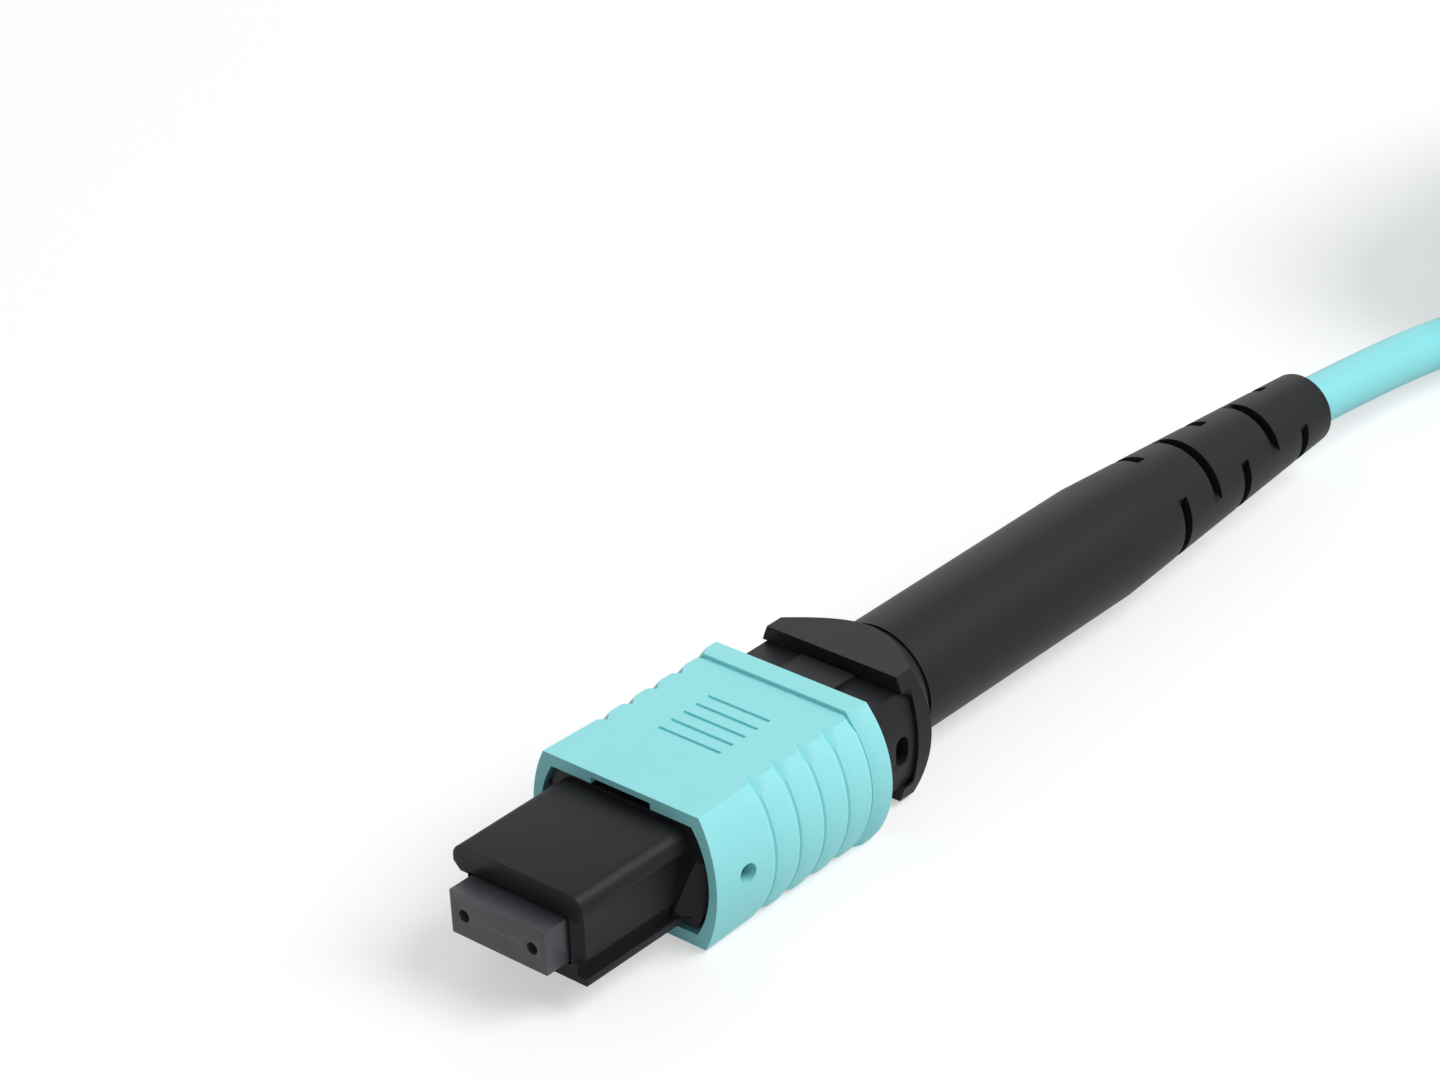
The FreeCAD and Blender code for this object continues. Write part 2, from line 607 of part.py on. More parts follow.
def cable_in_boot():
    """The stretch of cable jacket from the crimp to the boot's end."""
    body = new_body("cable_in_boot")
    turned(body, "jacket", [
        ("cable_bore / 2", "cable_start_at"), ("cable_thick / 2", "cable_start_at"),
        ("cable_thick / 2", "boot_end"), ("cable_bore / 2", "boot_end"),
    ])
    return body


def strain_relief_boot():
    """Boot: bowed flange with a coned back, straight tube, slotted taper and stepped bore."""
    body = new_body("strain_relief_boot")
    pad(body, "flange", "rear_end_at", "tube_start_at - rear_end_at",
        barrel, "flange_half_high", "flange_corner_half", "flange_bulge")
    reach = "(flange_corner_half + 3 * flange_bulge)"
    rise = f"({reach} - tube_radius)"
    corner = "sqrt(flange_corner_half ^ 2 + flange_half_high ^ 2)"
    fall = f"(tube_start_at - flange_cone_at) / ({corner} - tube_radius)"
    turned(body, "flange_cone", [
        ("tube_radius", "tube_start_at"),
        (reach, f"tube_start_at - {rise} * {fall}"),
        (reach, "tube_start_at"),
    ], "PartDesign::Groove")
    pads = across(body, "pad_section", "pad_front_at")
    shoulder = "flange_corner_half + flange_bulge / 2"
    low = "rear_half_high + slide_gap"
    for side in ("", "-"):
        outline(pads, [
            ("-flange_corner_half", f"{side}(flange_half_high)"),
            ("flange_corner_half", f"{side}(flange_half_high)"),
            (shoulder, f"{side}({low})"), (f"-({shoulder})", f"{side}({low})"),
        ])
    grow(body, "flange_pads", pads, "rear_end_at - pad_front_at")
    groove = "tube_start_at + neck_groove_wide"
    turned(body, "tube", [
        ("0", "tube_root_at"), ("tube_radius - neck_groove_deep", "tube_root_at"),
        ("tube_radius - neck_groove_deep", groove), ("tube_radius", groove),
        ("tube_radius", "taper_start_at"), ("tip_radius", "boot_end - tip_round"),
        ("tip_radius - tip_round", "boot_end"), ("0", "boot_end"),
    ])
    wide = "post_outer / 2 + yarn_thick + ring_wall + ring_gap"
    neck = "cable_thick / 2 + ring_wall + ring_gap"
    skin = "cable_thick / 2 + jacket_gap"
    turned(body, "boot_bore", [
        ("0", "pad_front_at - lap"), (wide, "pad_front_at - lap"), (wide, "ring_step_at"),
        (neck, "ring_neck_at"), (neck, "ring_end_at"), (skin, "ring_end_at + bore_step"),
        (skin, "boot_end - exit_flare"), (f"{skin} + exit_flare", "boot_end"), ("0", "boot_end"),
    ], "PartDesign::Groove")
    rings = [
        ("tall", "bend_slot_first_at + bend_slot_pitch", "-90 - bend_slot_turn", "bend_slot_tall_rings"),
        ("wide", "bend_slot_first_at", "-bend_slot_turn + 360", "bend_slot_wide_rings"),
    ]
    for word, place, turn, count in rings:
        cut = sketch_on(body, word + "_slot_section", "XY_Plane", turn=turn)
        for side in ("", "-"):
            rectangle(cut, f"{side}(bend_slot_core)", f"{side}(2 * tube_radius)",
                      f"{place} - bend_slot_wide / 2", f"{place} + bend_slot_wide / 2")
        slot = both_ways(body, word + "_slot", cut, "3 * tube_radius", "PartDesign::Pocket")
        doc.recompute()
        repeat(body, word + "_slots", slot, "Y_Axis", "2 * bend_slot_pitch", count)
    return body


def wire_spring(name, path, thick):
    """Sweep round wire along a spring's path."""
    start = path.Edges[0]
    ring = Part.makeCircle(thick / 2, start.valueAt(start.FirstParameter),
                           start.tangentAt(start.FirstParameter))
    made = doc.addObject("Part::Feature", name)
    made.Label = name
    made.Shape = path.makePipeShell([Part.Wire([ring])], True, True)
    stand(made)
    return made


def main_spring():
    """Oval-wound compression spring: half turns of helix joined by sloping straight runs."""
    thick = value("main_wire")
    bend = value("main_spring_high") / 2 - thick / 2
    run = value("main_spring_wide - main_spring_high")
    turns = int(value("main_turns"))
    start = value("ferrule_long + keeper_thick + slide_gap") + thick / 2
    travel = value("main_spring_long - 2 * slide_gap") - thick
    slope = travel / (turns * 2 * (math.pi * bend + run))
    half_climb = slope * math.pi * bend
    run_climb = slope * run
    edges = []
    place = start
    for half in range(2 * turns):
        side = 1 if half % 2 == 0 else -1
        helix = Part.makeHelix(2 * half_climb, half_climb, bend)
        edge = helix.Edges[0].copy()
        # The helix climbs along Z from +X: lay its axis along Y and start it above or below.
        edge.rotate(V(), V(1, 0, 0), -90)
        edge.rotate(V(), V(0, 1, 0), -90 * side)
        edge.translate(V(side * run / 2, place, 0))
        edges.append(edge)
        place += half_climb
        stop = edge.valueAt(edge.LastParameter)
        edges.append(Part.makeLine(stop, stop + V(-side * run, run_climb, 0)))
        place += run_climb
    return wire_spring("main_spring", Part.Wire(edges), thick)


def coupling_springs():
    """Two round springs in the frame's side channels."""
    thick = value("side_wire")
    inner = value(f"{CHANNEL_FLOOR} + side_spring_gap")
    outer = value("mouth_corner_half + mouth_bulge - side_spring_gap")
    bend = (outer - inner - thick) / 2
    start = value("channel_start_at + lug_gap + lug_thick") + thick / 2
    stop = value("frame_end_at - stop_thick") - thick / 2
    turns = value("side_turns")
    middle = (inner + outer) / 2
    made = []
    for name, side in (("coupling_spring_left", -1), ("coupling_spring_right", 1)):
        path = Part.makeHelix((stop - start) / turns, stop - start, bend)
        path.rotate(V(), V(1, 0, 0), -90)
        path.translate(V(side * middle, start, 0))
        made.append(wire_spring(name, Part.Wire(path.Edges), thick))
    return made


# The cable's route from the boot's end to the hank: X, place along the axis, Z from the axis.
LYING = "(cable_thick / 2 - band_half_high)"
ROUTE = [
    ("0", "boot_end", "0"),
    ("0", "boot_end + 4.7", "0"),
    ("0.7", "boot_end + 10.7", f"{LYING} + 1.84"),
    ("-0.6", "boot_end + 18", f"{LYING} + 0.09"),
    ("hank_x - 9.4", "hank_near_at - 9", f"{LYING} + 0.24"),
]


def route_path(points):
    """Straight runs joined by tangent arcs, each as large as its two runs allow."""
    edges = []
    here = points[0]
    for before, corner, after in zip(points, points[1:], points[2:]):
        come = (corner - before).normalize()
        leave = (after - corner).normalize()
        turn = come.getAngle(leave)
        short = min((corner - before).Length, (after - corner).Length)
        cut = 0.45 * short
        print(f"cable bend radius {cut / math.tan(turn / 2):.1f} mm")
        first = corner - come * cut
        last = corner + leave * cut
        inward = (leave - come).normalize()
        radius = cut / math.tan(turn / 2)
        depth = radius / math.cos(turn / 2) - radius
        edges.append(Part.LineSegment(here, first).toShape())
        edges.append(Part.Arc(first, corner + inward * depth, last).toShape())
        here = last
    edges.append(Part.LineSegment(here, points[-1]).toShape())
    return Part.Wire(edges)


def cable_lead():
    """The free cable between the boot and the hank."""
    thick = value("cable_thick")
    points = [V(*(value(place) for place in point)) for point in ROUTE]
    path = route_path(points)
    ring = Part.Wire([Part.makeCircle(thick / 2, points[0], points[1] - points[0])])
    made = doc.addObject("Part::Feature", "cable_lead")
    made.Label = "cable_lead"
    made.Shape = path.makePipeShell([ring], True, False)
    expected = math.pi * thick ** 2 / 4 * path.Length
    print(f"cable lead {path.Length:.1f} mm, volume {made.Shape.Volume / expected:.4f} of section x length")
    stand(made)
    return made


def cable_hank():
    """Outer shape of the cable that is wound away in long turns."""
    body = new_body("cable_hank")
    plan = sketch_on(body, "hank_plan", "XY_Plane", "tie_thick - band_half_high")
    left, right = ("hank_x - hank_across / 2", "hank_x + hank_across / 2")
    near, far = "hank_near_at", "hank_near_at + hank_run"
    outline(plan, [(left, near), (right, near), (right, far), (left, far)], {
        0: ("hank_x", f"{near} - hank_across / 2"),
        2: ("hank_x", f"{far} + hank_across / 2"),
    })
    block = body.newObject("PartDesign::Pad", "hank_block")
    block.Profile = plan
    block.setExpression("Length", cells("hank_high"))
    return body


def hank_tie():
    """Flat strap round the hank's middle."""
    body = new_body("hank_tie")
    start = "hank_near_at + (hank_run - tie_wide) / 2"
    low = "-band_half_high"
    left, right = ("hank_x - hank_across / 2", "hank_x + hank_across / 2")
    pad(body, "strap", start, "tie_wide", rectangle, f"{left} - tie_thick", f"{right} + tie_thick",
        low, f"{low} + hank_high + 2 * tie_thick")
    pocket(body, "strap_hole", start, "tie_wide", rectangle, left, right,
           f"{low} + tie_thick", f"{low} + tie_thick + hank_high")
    return body


def build():
    """Build every sub-part, in order from the plug's face to the cable."""
    made = [
        mt_ferrule(), ferrule_boot(), pin_keeper(), fibre_ribbon(), main_spring(), plug_frame(),
        coupling_sleeve(), *coupling_springs(), rear_body(), aramid_yarn(), crimp_ring(),
        cable_in_boot(), strain_relief_boot(), cable_lead(), cable_hank(), hank_tie(),
    ]
    doc.recompute()
    return made


def check(parts):
    """Stop if any object of the document failed, or any sub-part has no sound solid."""
    for thing in doc.Objects:
        if "Invalid" in thing.State or "Error" in thing.State:
            raise RuntimeError(f"{thing.Name} failed: {thing.State}")
    for part in parts:
        if part.Shape.isNull() or not part.Shape.isValid() or not part.Shape.Solids:
            raise RuntimeError(f"{part.Label} has no sound solid")
        print(f"{part.Label:22s} solids {len(part.Shape.Solids)} volume {part.Shape.Volume:9.3f}")


parts = build()
check(parts)
os.makedirs("parts", exist_ok=True)
for part in parts:
    part.Shape.exportStep(f"parts/{part.Label}.step")
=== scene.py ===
"""Dress of a twelve-fibre push-pull plug: soft edges, moulded finishes and its round cable.

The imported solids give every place. Lengths in the classes are in millimetres, along the
plug's own axis: y runs back from the ferrule's face, z is up from the axis.
"""

import json
import logging
import math
from dataclasses import dataclass
from enum import Enum
from typing import Any, Iterable, Sequence, Union

import bmesh
import bpy
from mathutils import Matrix, Vector


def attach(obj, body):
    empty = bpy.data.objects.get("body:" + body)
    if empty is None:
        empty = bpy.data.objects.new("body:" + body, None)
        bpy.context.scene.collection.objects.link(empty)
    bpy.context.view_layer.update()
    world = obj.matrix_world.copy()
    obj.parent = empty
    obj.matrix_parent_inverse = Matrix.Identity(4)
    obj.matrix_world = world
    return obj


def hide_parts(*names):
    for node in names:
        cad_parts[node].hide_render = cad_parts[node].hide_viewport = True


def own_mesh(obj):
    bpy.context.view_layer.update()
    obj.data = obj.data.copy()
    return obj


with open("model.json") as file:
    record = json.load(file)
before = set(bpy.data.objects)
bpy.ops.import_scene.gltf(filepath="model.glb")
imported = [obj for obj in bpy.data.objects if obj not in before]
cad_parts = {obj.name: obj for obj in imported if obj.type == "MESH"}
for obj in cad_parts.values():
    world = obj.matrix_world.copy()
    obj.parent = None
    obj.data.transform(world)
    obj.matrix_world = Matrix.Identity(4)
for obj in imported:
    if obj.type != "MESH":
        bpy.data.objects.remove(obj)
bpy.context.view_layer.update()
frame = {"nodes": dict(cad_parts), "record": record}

# The axis frame's unit in metres, and its origin in the row's frame, in millimetres.
MM = 0.001
FACE_AT = -34.4
AXIS_HIGH = 4.14

# How near points are joined, in metres, and how far faces may turn and still be one flat.
WELD = 1e-7
NODE_WELD = 2e-6
NODE_SLIVER = 1e-6
NODE_FLAT = math.radians(0.4)

# Where a Mix node keeps its colours and its result.
MIX_FIRST, MIX_SECOND, MIX_RESULT = 6, 7, 2

Point = tuple[float, float, float]
Flat = tuple[float, float]
Colour = tuple[float, float, float]

logging.basicConfig(level=logging.INFO, format="%(message)s")
log = logging.getLogger("plug")


class Body(str, Enum):
    """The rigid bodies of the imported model."""

    HOUSING = "housing"
    SLEEVE = "pull_sleeve"
    FERRULE = "floating_ferrule"


class Grain(Enum):
    """How a surface's fine relief runs, as its stretch along X, Y and Z."""

    SPARK = (1.0, 1.0, 1.0)    # spark-eroded pits, alike in every direction
    DRAWN = (1.0, 14.0, 1.0)   # fine lines along the plug, as extrusion leaves them
    LAPPED = (18.0, 1.0, 1.0)  # fine lines across the plug, as polishing leaves them


def row(x: float, y: float, z: float) -> Vector:
    """A place in the plug's axis frame, in millimetres, as a place in the row's frame."""
    return Vector((x, y + FACE_AT, z + AXIS_HIGH)) * MM


def linear(red: int, green: int, blue: int) -> Colour:
    """A colour written as three screen values from 0 to 255, as linear light.

    Args:
        red, green, blue: the screen values.

    Returns:
        The three linear values.
    """
    def bend(level: int) -> float:
        """One channel's linear value."""
        part = level / 255
        return part / 12.92 if part <= 0.04045 else ((part + 0.055) / 1.055) ** 2.4

    return bend(red), bend(green), bend(blue)


# ---------------------------------------------------------------- node trees


class Sock:
    """An output socket whose operators add the Math nodes they stand for."""

    def __init__(self, graph: "Graph", socket: bpy.types.NodeSocket) -> None:
        """Wrap one output socket of a graph."""
        self.graph = graph
        self.socket = socket

    def _maths(self, operation: str, first: Any, second: Any) -> "Sock":
        """Add one Math node on two values."""
        return self.graph.node("ShaderNodeMath", {"operation": operation}, {0: first, 1: second})

    def __add__(self, other: Any) -> "Sock":
        """Sum."""
        return self._maths("ADD", self, other)

    def __radd__(self, other: Any) -> "Sock":
        """Sum, reflected."""
        return self._maths("ADD", other, self)

    def __sub__(self, other: Any) -> "Sock":
        """Difference."""
        return self._maths("SUBTRACT", self, other)

    def __rsub__(self, other: Any) -> "Sock":
        """Difference, reflected."""
        return self._maths("SUBTRACT", other, self)

    def __mul__(self, other: Any) -> "Sock":
        """Product."""
        return self._maths("MULTIPLY", self, other)

    def __rmul__(self, other: Any) -> "Sock":
        """Product, reflected."""
        return self._maths("MULTIPLY", other, self)

    def __mod__(self, other: Any) -> "Sock":
        """Remainder."""
        return self._maths("MODULO", self, other)

    def blend(self, other: "Sock", share: float) -> "Sock":
        """This value with a share of another in it."""
        return self * (1.0 - share) + other * share

    def limit(self) -> "Sock":
        """The value kept between 0 and 1."""
        return self.graph.node("ShaderNodeClamp", {}, {"Value": self})

    def part(self, axis: int) -> "Sock":
        """One component of a vector."""
        return self.graph.node("ShaderNodeSeparateXYZ", {}, {0: self}, axis)


class Graph:
    """Adds nodes to one tree from plain values, sockets and settings."""

    def __init__(self, tree: bpy.types.NodeTree) -> None:
        """Work on a tree."""
        self.tree = tree

    def feed(self, target: bpy.types.NodeSocket, value: Any) -> None:
        """Link a socket, or set its plain value."""
        if isinstance(value, Sock):
            self.tree.links.new(value.socket, target)
        else:
            target.default_value = value

    def add(self, kind: str, settings: dict[str, Any], sockets: dict[Any, Any]) -> bpy.types.Node:
        """Add one node.

        Args:
            kind: the node's type name.
            settings: its properties, set first; a ramp takes "interpolation" and "stops", a
                list of place and colour.
            sockets: values or links, by input name or number.

        Returns:
            The node.
        """
        made = self.tree.nodes.new(kind)
        for name, value in settings.items():
            if name == "interpolation":
                made.color_ramp.interpolation = value
            elif name == "stops":
                ramp = made.color_ramp
                while len(ramp.elements) < len(value):
                    ramp.elements.new(0.5)
                for stop, (place, tint) in zip(ramp.elements, value):
                    stop.position = place
                    stop.color = (*tint, 1)
            else:
                setattr(made, name, value)
        for name, value in sockets.items():
            self.feed(made.inputs[name], value)
        return made

    def node(
        self, kind: str, settings: dict[str, Any], sockets: dict[Any, Any], out: Any = 0
    ) -> Sock:
        """Add one node, as add does, and take its output of that name or number."""
        return Sock(self, self.add(kind, settings, sockets).outputs[out])

    def seen(self) -> Sock:
        """1 on rays from the camera, on glossy rays and on rays through glass, else 0."""
        rays = self.add("ShaderNodeLightPath", {}, {})
        camera, glossy, through = (
            Sock(self, rays.outputs[f"Is {kind} Ray"]) for kind in ("Camera", "Glossy", "Transmission")
        )
        return (camera + glossy + through).limit()

    def tint(self, share: Any, first: Any, second: Any, mode: str = "MIX") -> Sock:
        """Mix two colours, given as three numbers or as sockets."""
        ends = [end if isinstance(end, Sock) else (*end, 1.0) for end in (first, second)]
        settings = {"data_type": "RGBA", "blend_type": mode}
        sockets = {0: share, MIX_FIRST: ends[0], MIX_SECOND: ends[1]}
        return self.node("ShaderNodeMix", settings, sockets, MIX_RESULT)

    def vector(self, operation: str, first: Any, second: Any) -> Sock:
        """One Vector Math node."""
        return self.node("ShaderNodeVectorMath", {"operation": operation}, {0: first, 1: second})


class Recipe(Graph):
    """A Geometry Nodes tree with named inputs, used once or more on mesh objects."""

    def __init__(self, name: str) -> None:
        """Start an empty tree with a geometry input and output."""
        super().__init__(bpy.data.node_groups.new(name, "GeometryNodeTree"))
        self.tree.interface.new_socket("Geometry", in_out="INPUT", socket_type="NodeSocketGeometry")
        self.tree.interface.new_socket("Geometry", in_out="OUTPUT", socket_type="NodeSocketGeometry")
        self.entry = self.add("NodeGroupInput", {}, {})
        self.exit = self.add("NodeGroupOutput", {}, {})
        self.names: dict[str, str] = {}

    def asks(self, name: str, kind: str) -> Sock:
        """Add a named input.

        Args:
            name: the input's name.
            kind: Float, Int, Object or Material.

        Returns:
            Its socket inside the tree.
        """
        made = self.tree.interface.new_socket(
            name, in_out="INPUT", socket_type=f"NodeSocket{kind}"
        )
        self.names[name] = made.identifier
        return Sock(self, self.entry.outputs[name])

    def ends_in(self, result: Sock, material: Sock) -> None:
        """Finish the tree: realize the instances, set the material, give the result out."""
        real = self.node("GeometryNodeRealizeInstances", {}, {0: result})
        dressed = self.node("GeometryNodeSetMaterial", {}, {"Geometry": real, "Material": material})
        self.feed(self.exit.inputs[0], dressed)

    def run(self, piece: bpy.types.Object, **values: Any) -> None:
        """Apply the tree to a piece's mesh for good.

        Args:
            piece: a mesh object; its mesh is replaced by the result.
            values: the inputs' values, by name, with _ for a space.
        """
        live = piece.modifiers.new(self.tree.name, "NODES")
        live.node_group = self.tree
        for name, value in values.items():
            live[self.names[name.replace("_", " ")]] = value
        graph = bpy.context.evaluated_depsgraph_get()
        graph.update()
        baked = bpy.data.meshes.new_from_object(piece.evaluated_get(graph), depsgraph=graph)
        piece.modifiers.remove(live)
        piece.data = baked


# ---------------------------------------------------------------- finishes


class Look(Graph):
    """A material under construction, with the coordinates that all finishes read."""

    def __init__(self, name: str) -> None:
        """Start a material with an empty tree."""
        self.material = bpy.data.materials.new(name)
        self.material.use_nodes = True
        super().__init__(self.material.node_tree)
        self.tree.nodes.clear()
        self.place = self.node("ShaderNodeTexCoord", {}, {}, "Object")

    def noise(self, size_mm: float, detail: float = 3.0, stretch: Point = (1, 1, 1)) -> Sock:
        """Soft noise whose features are about size_mm across, stretched along the axes."""
        scale = tuple(1 / (size_mm * factor * MM) for factor in stretch)
        spread = self.vector("MULTIPLY", self.place, scale)
        return self.node(
            "ShaderNodeTexNoise", {}, {"Vector": spread, "Scale": 1.0, "Detail": detail}
        )

    def bump(self, height: Any, depth_mm: float) -> Sock:
        """A normal from a height that runs from 0 to 1, depth_mm deep."""
        return self.node(
            "ShaderNodeBump", {}, {"Height": height, "Distance": depth_mm * MM, "Strength": 1.0}
        )

    def close(self, shader: Sock) -> bpy.types.Material:
        """Give the material its shader."""
        self.add("ShaderNodeOutputMaterial", {}, {"Surface": shader})
        return self.material

    def finish(self, **sockets: Any) -> bpy.types.Material:
        """Close the material with one Principled shader.

        Args:
            sockets: the shader's values or links, by socket name with _ for a space.

        Returns:
            The material.
        """
        named = {name.replace("_", " "): value for name, value in sockets.items()}
        if not isinstance(named.get("Base Color"), Sock):
            named["Base Color"] = (*named["Base Color"], 1.0)
        return self.close(self.node("ShaderNodeBsdfPrincipled", {}, named))


def shaded(colour: Colour, share: float) -> Colour:
    """A colour taken down to a share of its light."""
    red, green, blue = (level * share for level in colour)
    return red, green, blue


@dataclass(frozen=True)
class MouldedPlastic:
    """Injection-moulded plastic with a fine tool texture and slight flow shading."""

    name: str
    colour: Colour
    roughness: float
    grain_mm: float
    grain_depth_mm: float
    shade: float
    gloss: float
    grain: Grain = Grain.SPARK
    flow_mm: float = 2.6
    flow_rough: float = 0.08
    pit_rough: float = 0.1
    speck_grains: float = 3.5
    speck_share: float = 0.35
    speck_relief: float = 0.3
    lift: float = 0.004

    def material(self) -> bpy.types.Material:
        """Build the material."""
        look = Look(self.name)
        flow = look.noise(self.flow_mm, 2.0, (1.0, 2.0, 1.0))
        speck = look.noise(self.grain_mm * self.speck_grains, 4.0)
        pits = look.noise(self.grain_mm, 2.0, self.grain.value)
        pale = tuple(
            min(1.0, level + self.lift * self.shade) for level in shaded(self.colour, 1 + self.shade)
        )
        cloud = flow.blend(speck, self.speck_share).limit()
        smoothest = self.roughness - (self.flow_rough + self.pit_rough) / 2
        rough = smoothest + flow * self.flow_rough + pits * self.pit_rough
        return look.finish(
            Base_Color=look.tint(cloud, shaded(self.colour, 1 - self.shade), pale),
            Roughness=rough.limit(), Specular_IOR_Level=self.gloss,
            Normal=look.bump(pits.blend(speck, self.speck_relief), self.grain_depth_mm),
        )


@dataclass(frozen=True)
class PolishedFerrule:
    """Mineral-filled plastic: pale filler specks, a lapped face and a duller body."""

    name: str
    colour: Colour
    speck: Colour
    stain: Colour = (0.5, 0.5, 0.55)
    stain_share: float = 0.35
    cloud_mm: float = 1.1
    filler_mm: float = 0.05
    filler_level: float = 0.56
    filler_edge: float = 6.0
    filler_share: float = 0.55
    roughness: float = 0.36
    cloud_rough: float = 0.1
    filler_rough: float = 0.08
    line_mm: float = 0.035
    line_depth_mm: float = 0.002

    def material(self) -> bpy.types.Material:
        """Build the material."""
        look = Look(self.name)
        filler = look.noise(self.filler_mm, 1.0)
        cloud = look.noise(self.cloud_mm, 3.0)
        lines = look.noise(self.line_mm, 2.0, Grain.LAPPED.value)
        mask = ((filler - self.filler_level) * self.filler_edge).limit()
        specked = look.tint(mask * self.filler_share, self.colour, self.speck)
        rough = self.roughness + cloud * self.cloud_rough + filler * self.filler_rough
        return look.finish(
            Base_Color=look.tint((cloud * self.stain_share).limit(), specked, self.stain, "MULTIPLY"),
            Roughness=rough.limit(), Normal=look.bump(lines.blend(filler, 0.5), self.line_depth_mm),
        )


@dataclass(frozen=True)
class Metal:
    """Drawn, stamped or turned metal with fine lines one way."""

    name: str
    colour: Colour
    roughness: float
    stretch: Point
    line_mm: float = 0.06
    line_depth_mm: float = 0.003
    line_share: float = 0.2
    stain_mm: float = 1.8
    stain_light: float = 0.72
    stain_share: float = 0.6
    rough_more: float = 0.12

    def material(self) -> bpy.types.Material:
        """Build the material."""
        look = Look(self.name)
        lines = look.noise(self.line_mm, 3.0, self.stretch)
        stain = look.noise(self.stain_mm, 4.0)
        dark = shaded(self.colour, self.stain_light)
        clean = stain * self.stain_share + lines * self.line_share
        rough = self.roughness + stain * self.rough_more + lines * self.rough_more
        return look.finish(
            Base_Color=look.tint(clean, dark, self.colour), Metallic=1.0,
            Roughness=rough.limit(), Normal=look.bump(lines, self.line_depth_mm),
        )


@dataclass(frozen=True)
class RibbonFibre:
    """Twelve fibres side by side: standard coat colours behind, bare glass in the ferrule."""

    name: str
    half_mm: float = 1.5
    bare_to_mm: float = 4.0
    groove_mm: float = 0.03
    glass: Colour = linear(92, 94, 98)
    scuff: Colour = (0.9, 0.9, 0.9)
    scuff_share: float = 0.25
    scuff_mm: float = 0.12
    roughness: float = 0.22
    scuff_rough: float = 0.15
    coats: tuple[tuple[int, int, int], ...] = (
        (30, 90, 190), (240, 130, 40), (60, 160, 80), (120, 75, 45), (130, 135, 140), (240, 240, 235),
        (200, 40, 40), (35, 35, 38), (240, 210, 60), (130, 70, 160), (235, 140, 160), (110, 205, 205),
    )

    def material(self) -> bpy.types.Material:
        """Build the material."""
        look = Look(self.name)
        across = look.place.part(0) * (1 / (2 * self.half_mm * MM)) + 0.5
        count = len(self.coats)
        stops = [(n / count, linear(*tone)) for n, tone in enumerate(self.coats)]
        lane = look.node("ShaderNodeValToRGB", {"interpolation": "CONSTANT", "stops": stops}, {0: across})
        scuffs = look.noise(self.scuff_mm, 2.0, (1.0, 10.0, 1.0))
        coat = look.tint(scuffs * self.scuff_share, lane, self.scuff)
        bare_end = row(0.0, self.bare_to_mm, 0.0).y
        coated = ((look.place.part(1) - bare_end) * (1 / MM)).limit()
        ridge = (across * count) % 1.0
        return look.finish(
            Base_Color=look.tint(coated, self.glass, coat),
            Roughness=(self.roughness + scuffs * self.scuff_rough).limit(),
            Normal=look.bump(ridge * (1.0 - ridge) * 4.0 * coated, self.groove_mm),
        )


@dataclass(frozen=True)
class Strands:
    """Fine yarn or woven strap: threads in their own colour, with painted shade in the gaps between them.
    """

    name: str
    colour: Colour
    thread_mm: float
    woven: bool = False
    # How much of the thread's colour the painted shade in the gaps between threads keeps.
    gap_light: float = 0.45
    fuzz_threads: float = 0.6
    fuzz_share: float = 0.3
    fuzz_relief: float = 0.2
    fuzz_rough: float = 0.2
    roughness: float = 0.75
    sheen: float = 0.15
    depth_threads: float = 0.35

    def material(self) -> bpy.types.Material:
        """Build the material."""
        look = Look(self.name)
        fuzz = look.noise(self.thread_mm * self.fuzz_threads, 4.0)
        if self.woven:
            turn = 2 * math.pi / (self.thread_mm * MM)
            across, along, up = (look.place.part(axis) * turn for axis in range(3))
            warp = look.node("ShaderNodeMath", {"operation": "SINE"}, {0: along})
            weft = look.node("ShaderNodeMath", {"operation": "SINE"}, {0: across + up})
            wave = warp * weft
        else:
            wave = look.noise(self.thread_mm, 3.0, (1.0, 16.0, 1.0)) * 2.0 - 1.0
        crown = (wave * 0.5 + 0.5).limit()
        # Painted shade: the gaps between threads take a darker copy of the thread's colour, and the crowns
        # keep the full colour.
        gap_painted_shade = shaded(self.colour, self.gap_light)
        return look.finish(
            Base_Color=look.tint(crown.blend(fuzz, self.fuzz_share).limit(), gap_painted_shade, self.colour),
            Roughness=(self.roughness + fuzz * self.fuzz_rough).limit(), Sheen_Weight=self.sheen,
            Normal=look.bump(crown.blend(fuzz, self.fuzz_relief), self.thread_mm * self.depth_threads),
        )


CHARCOAL = linear(28, 29, 31)

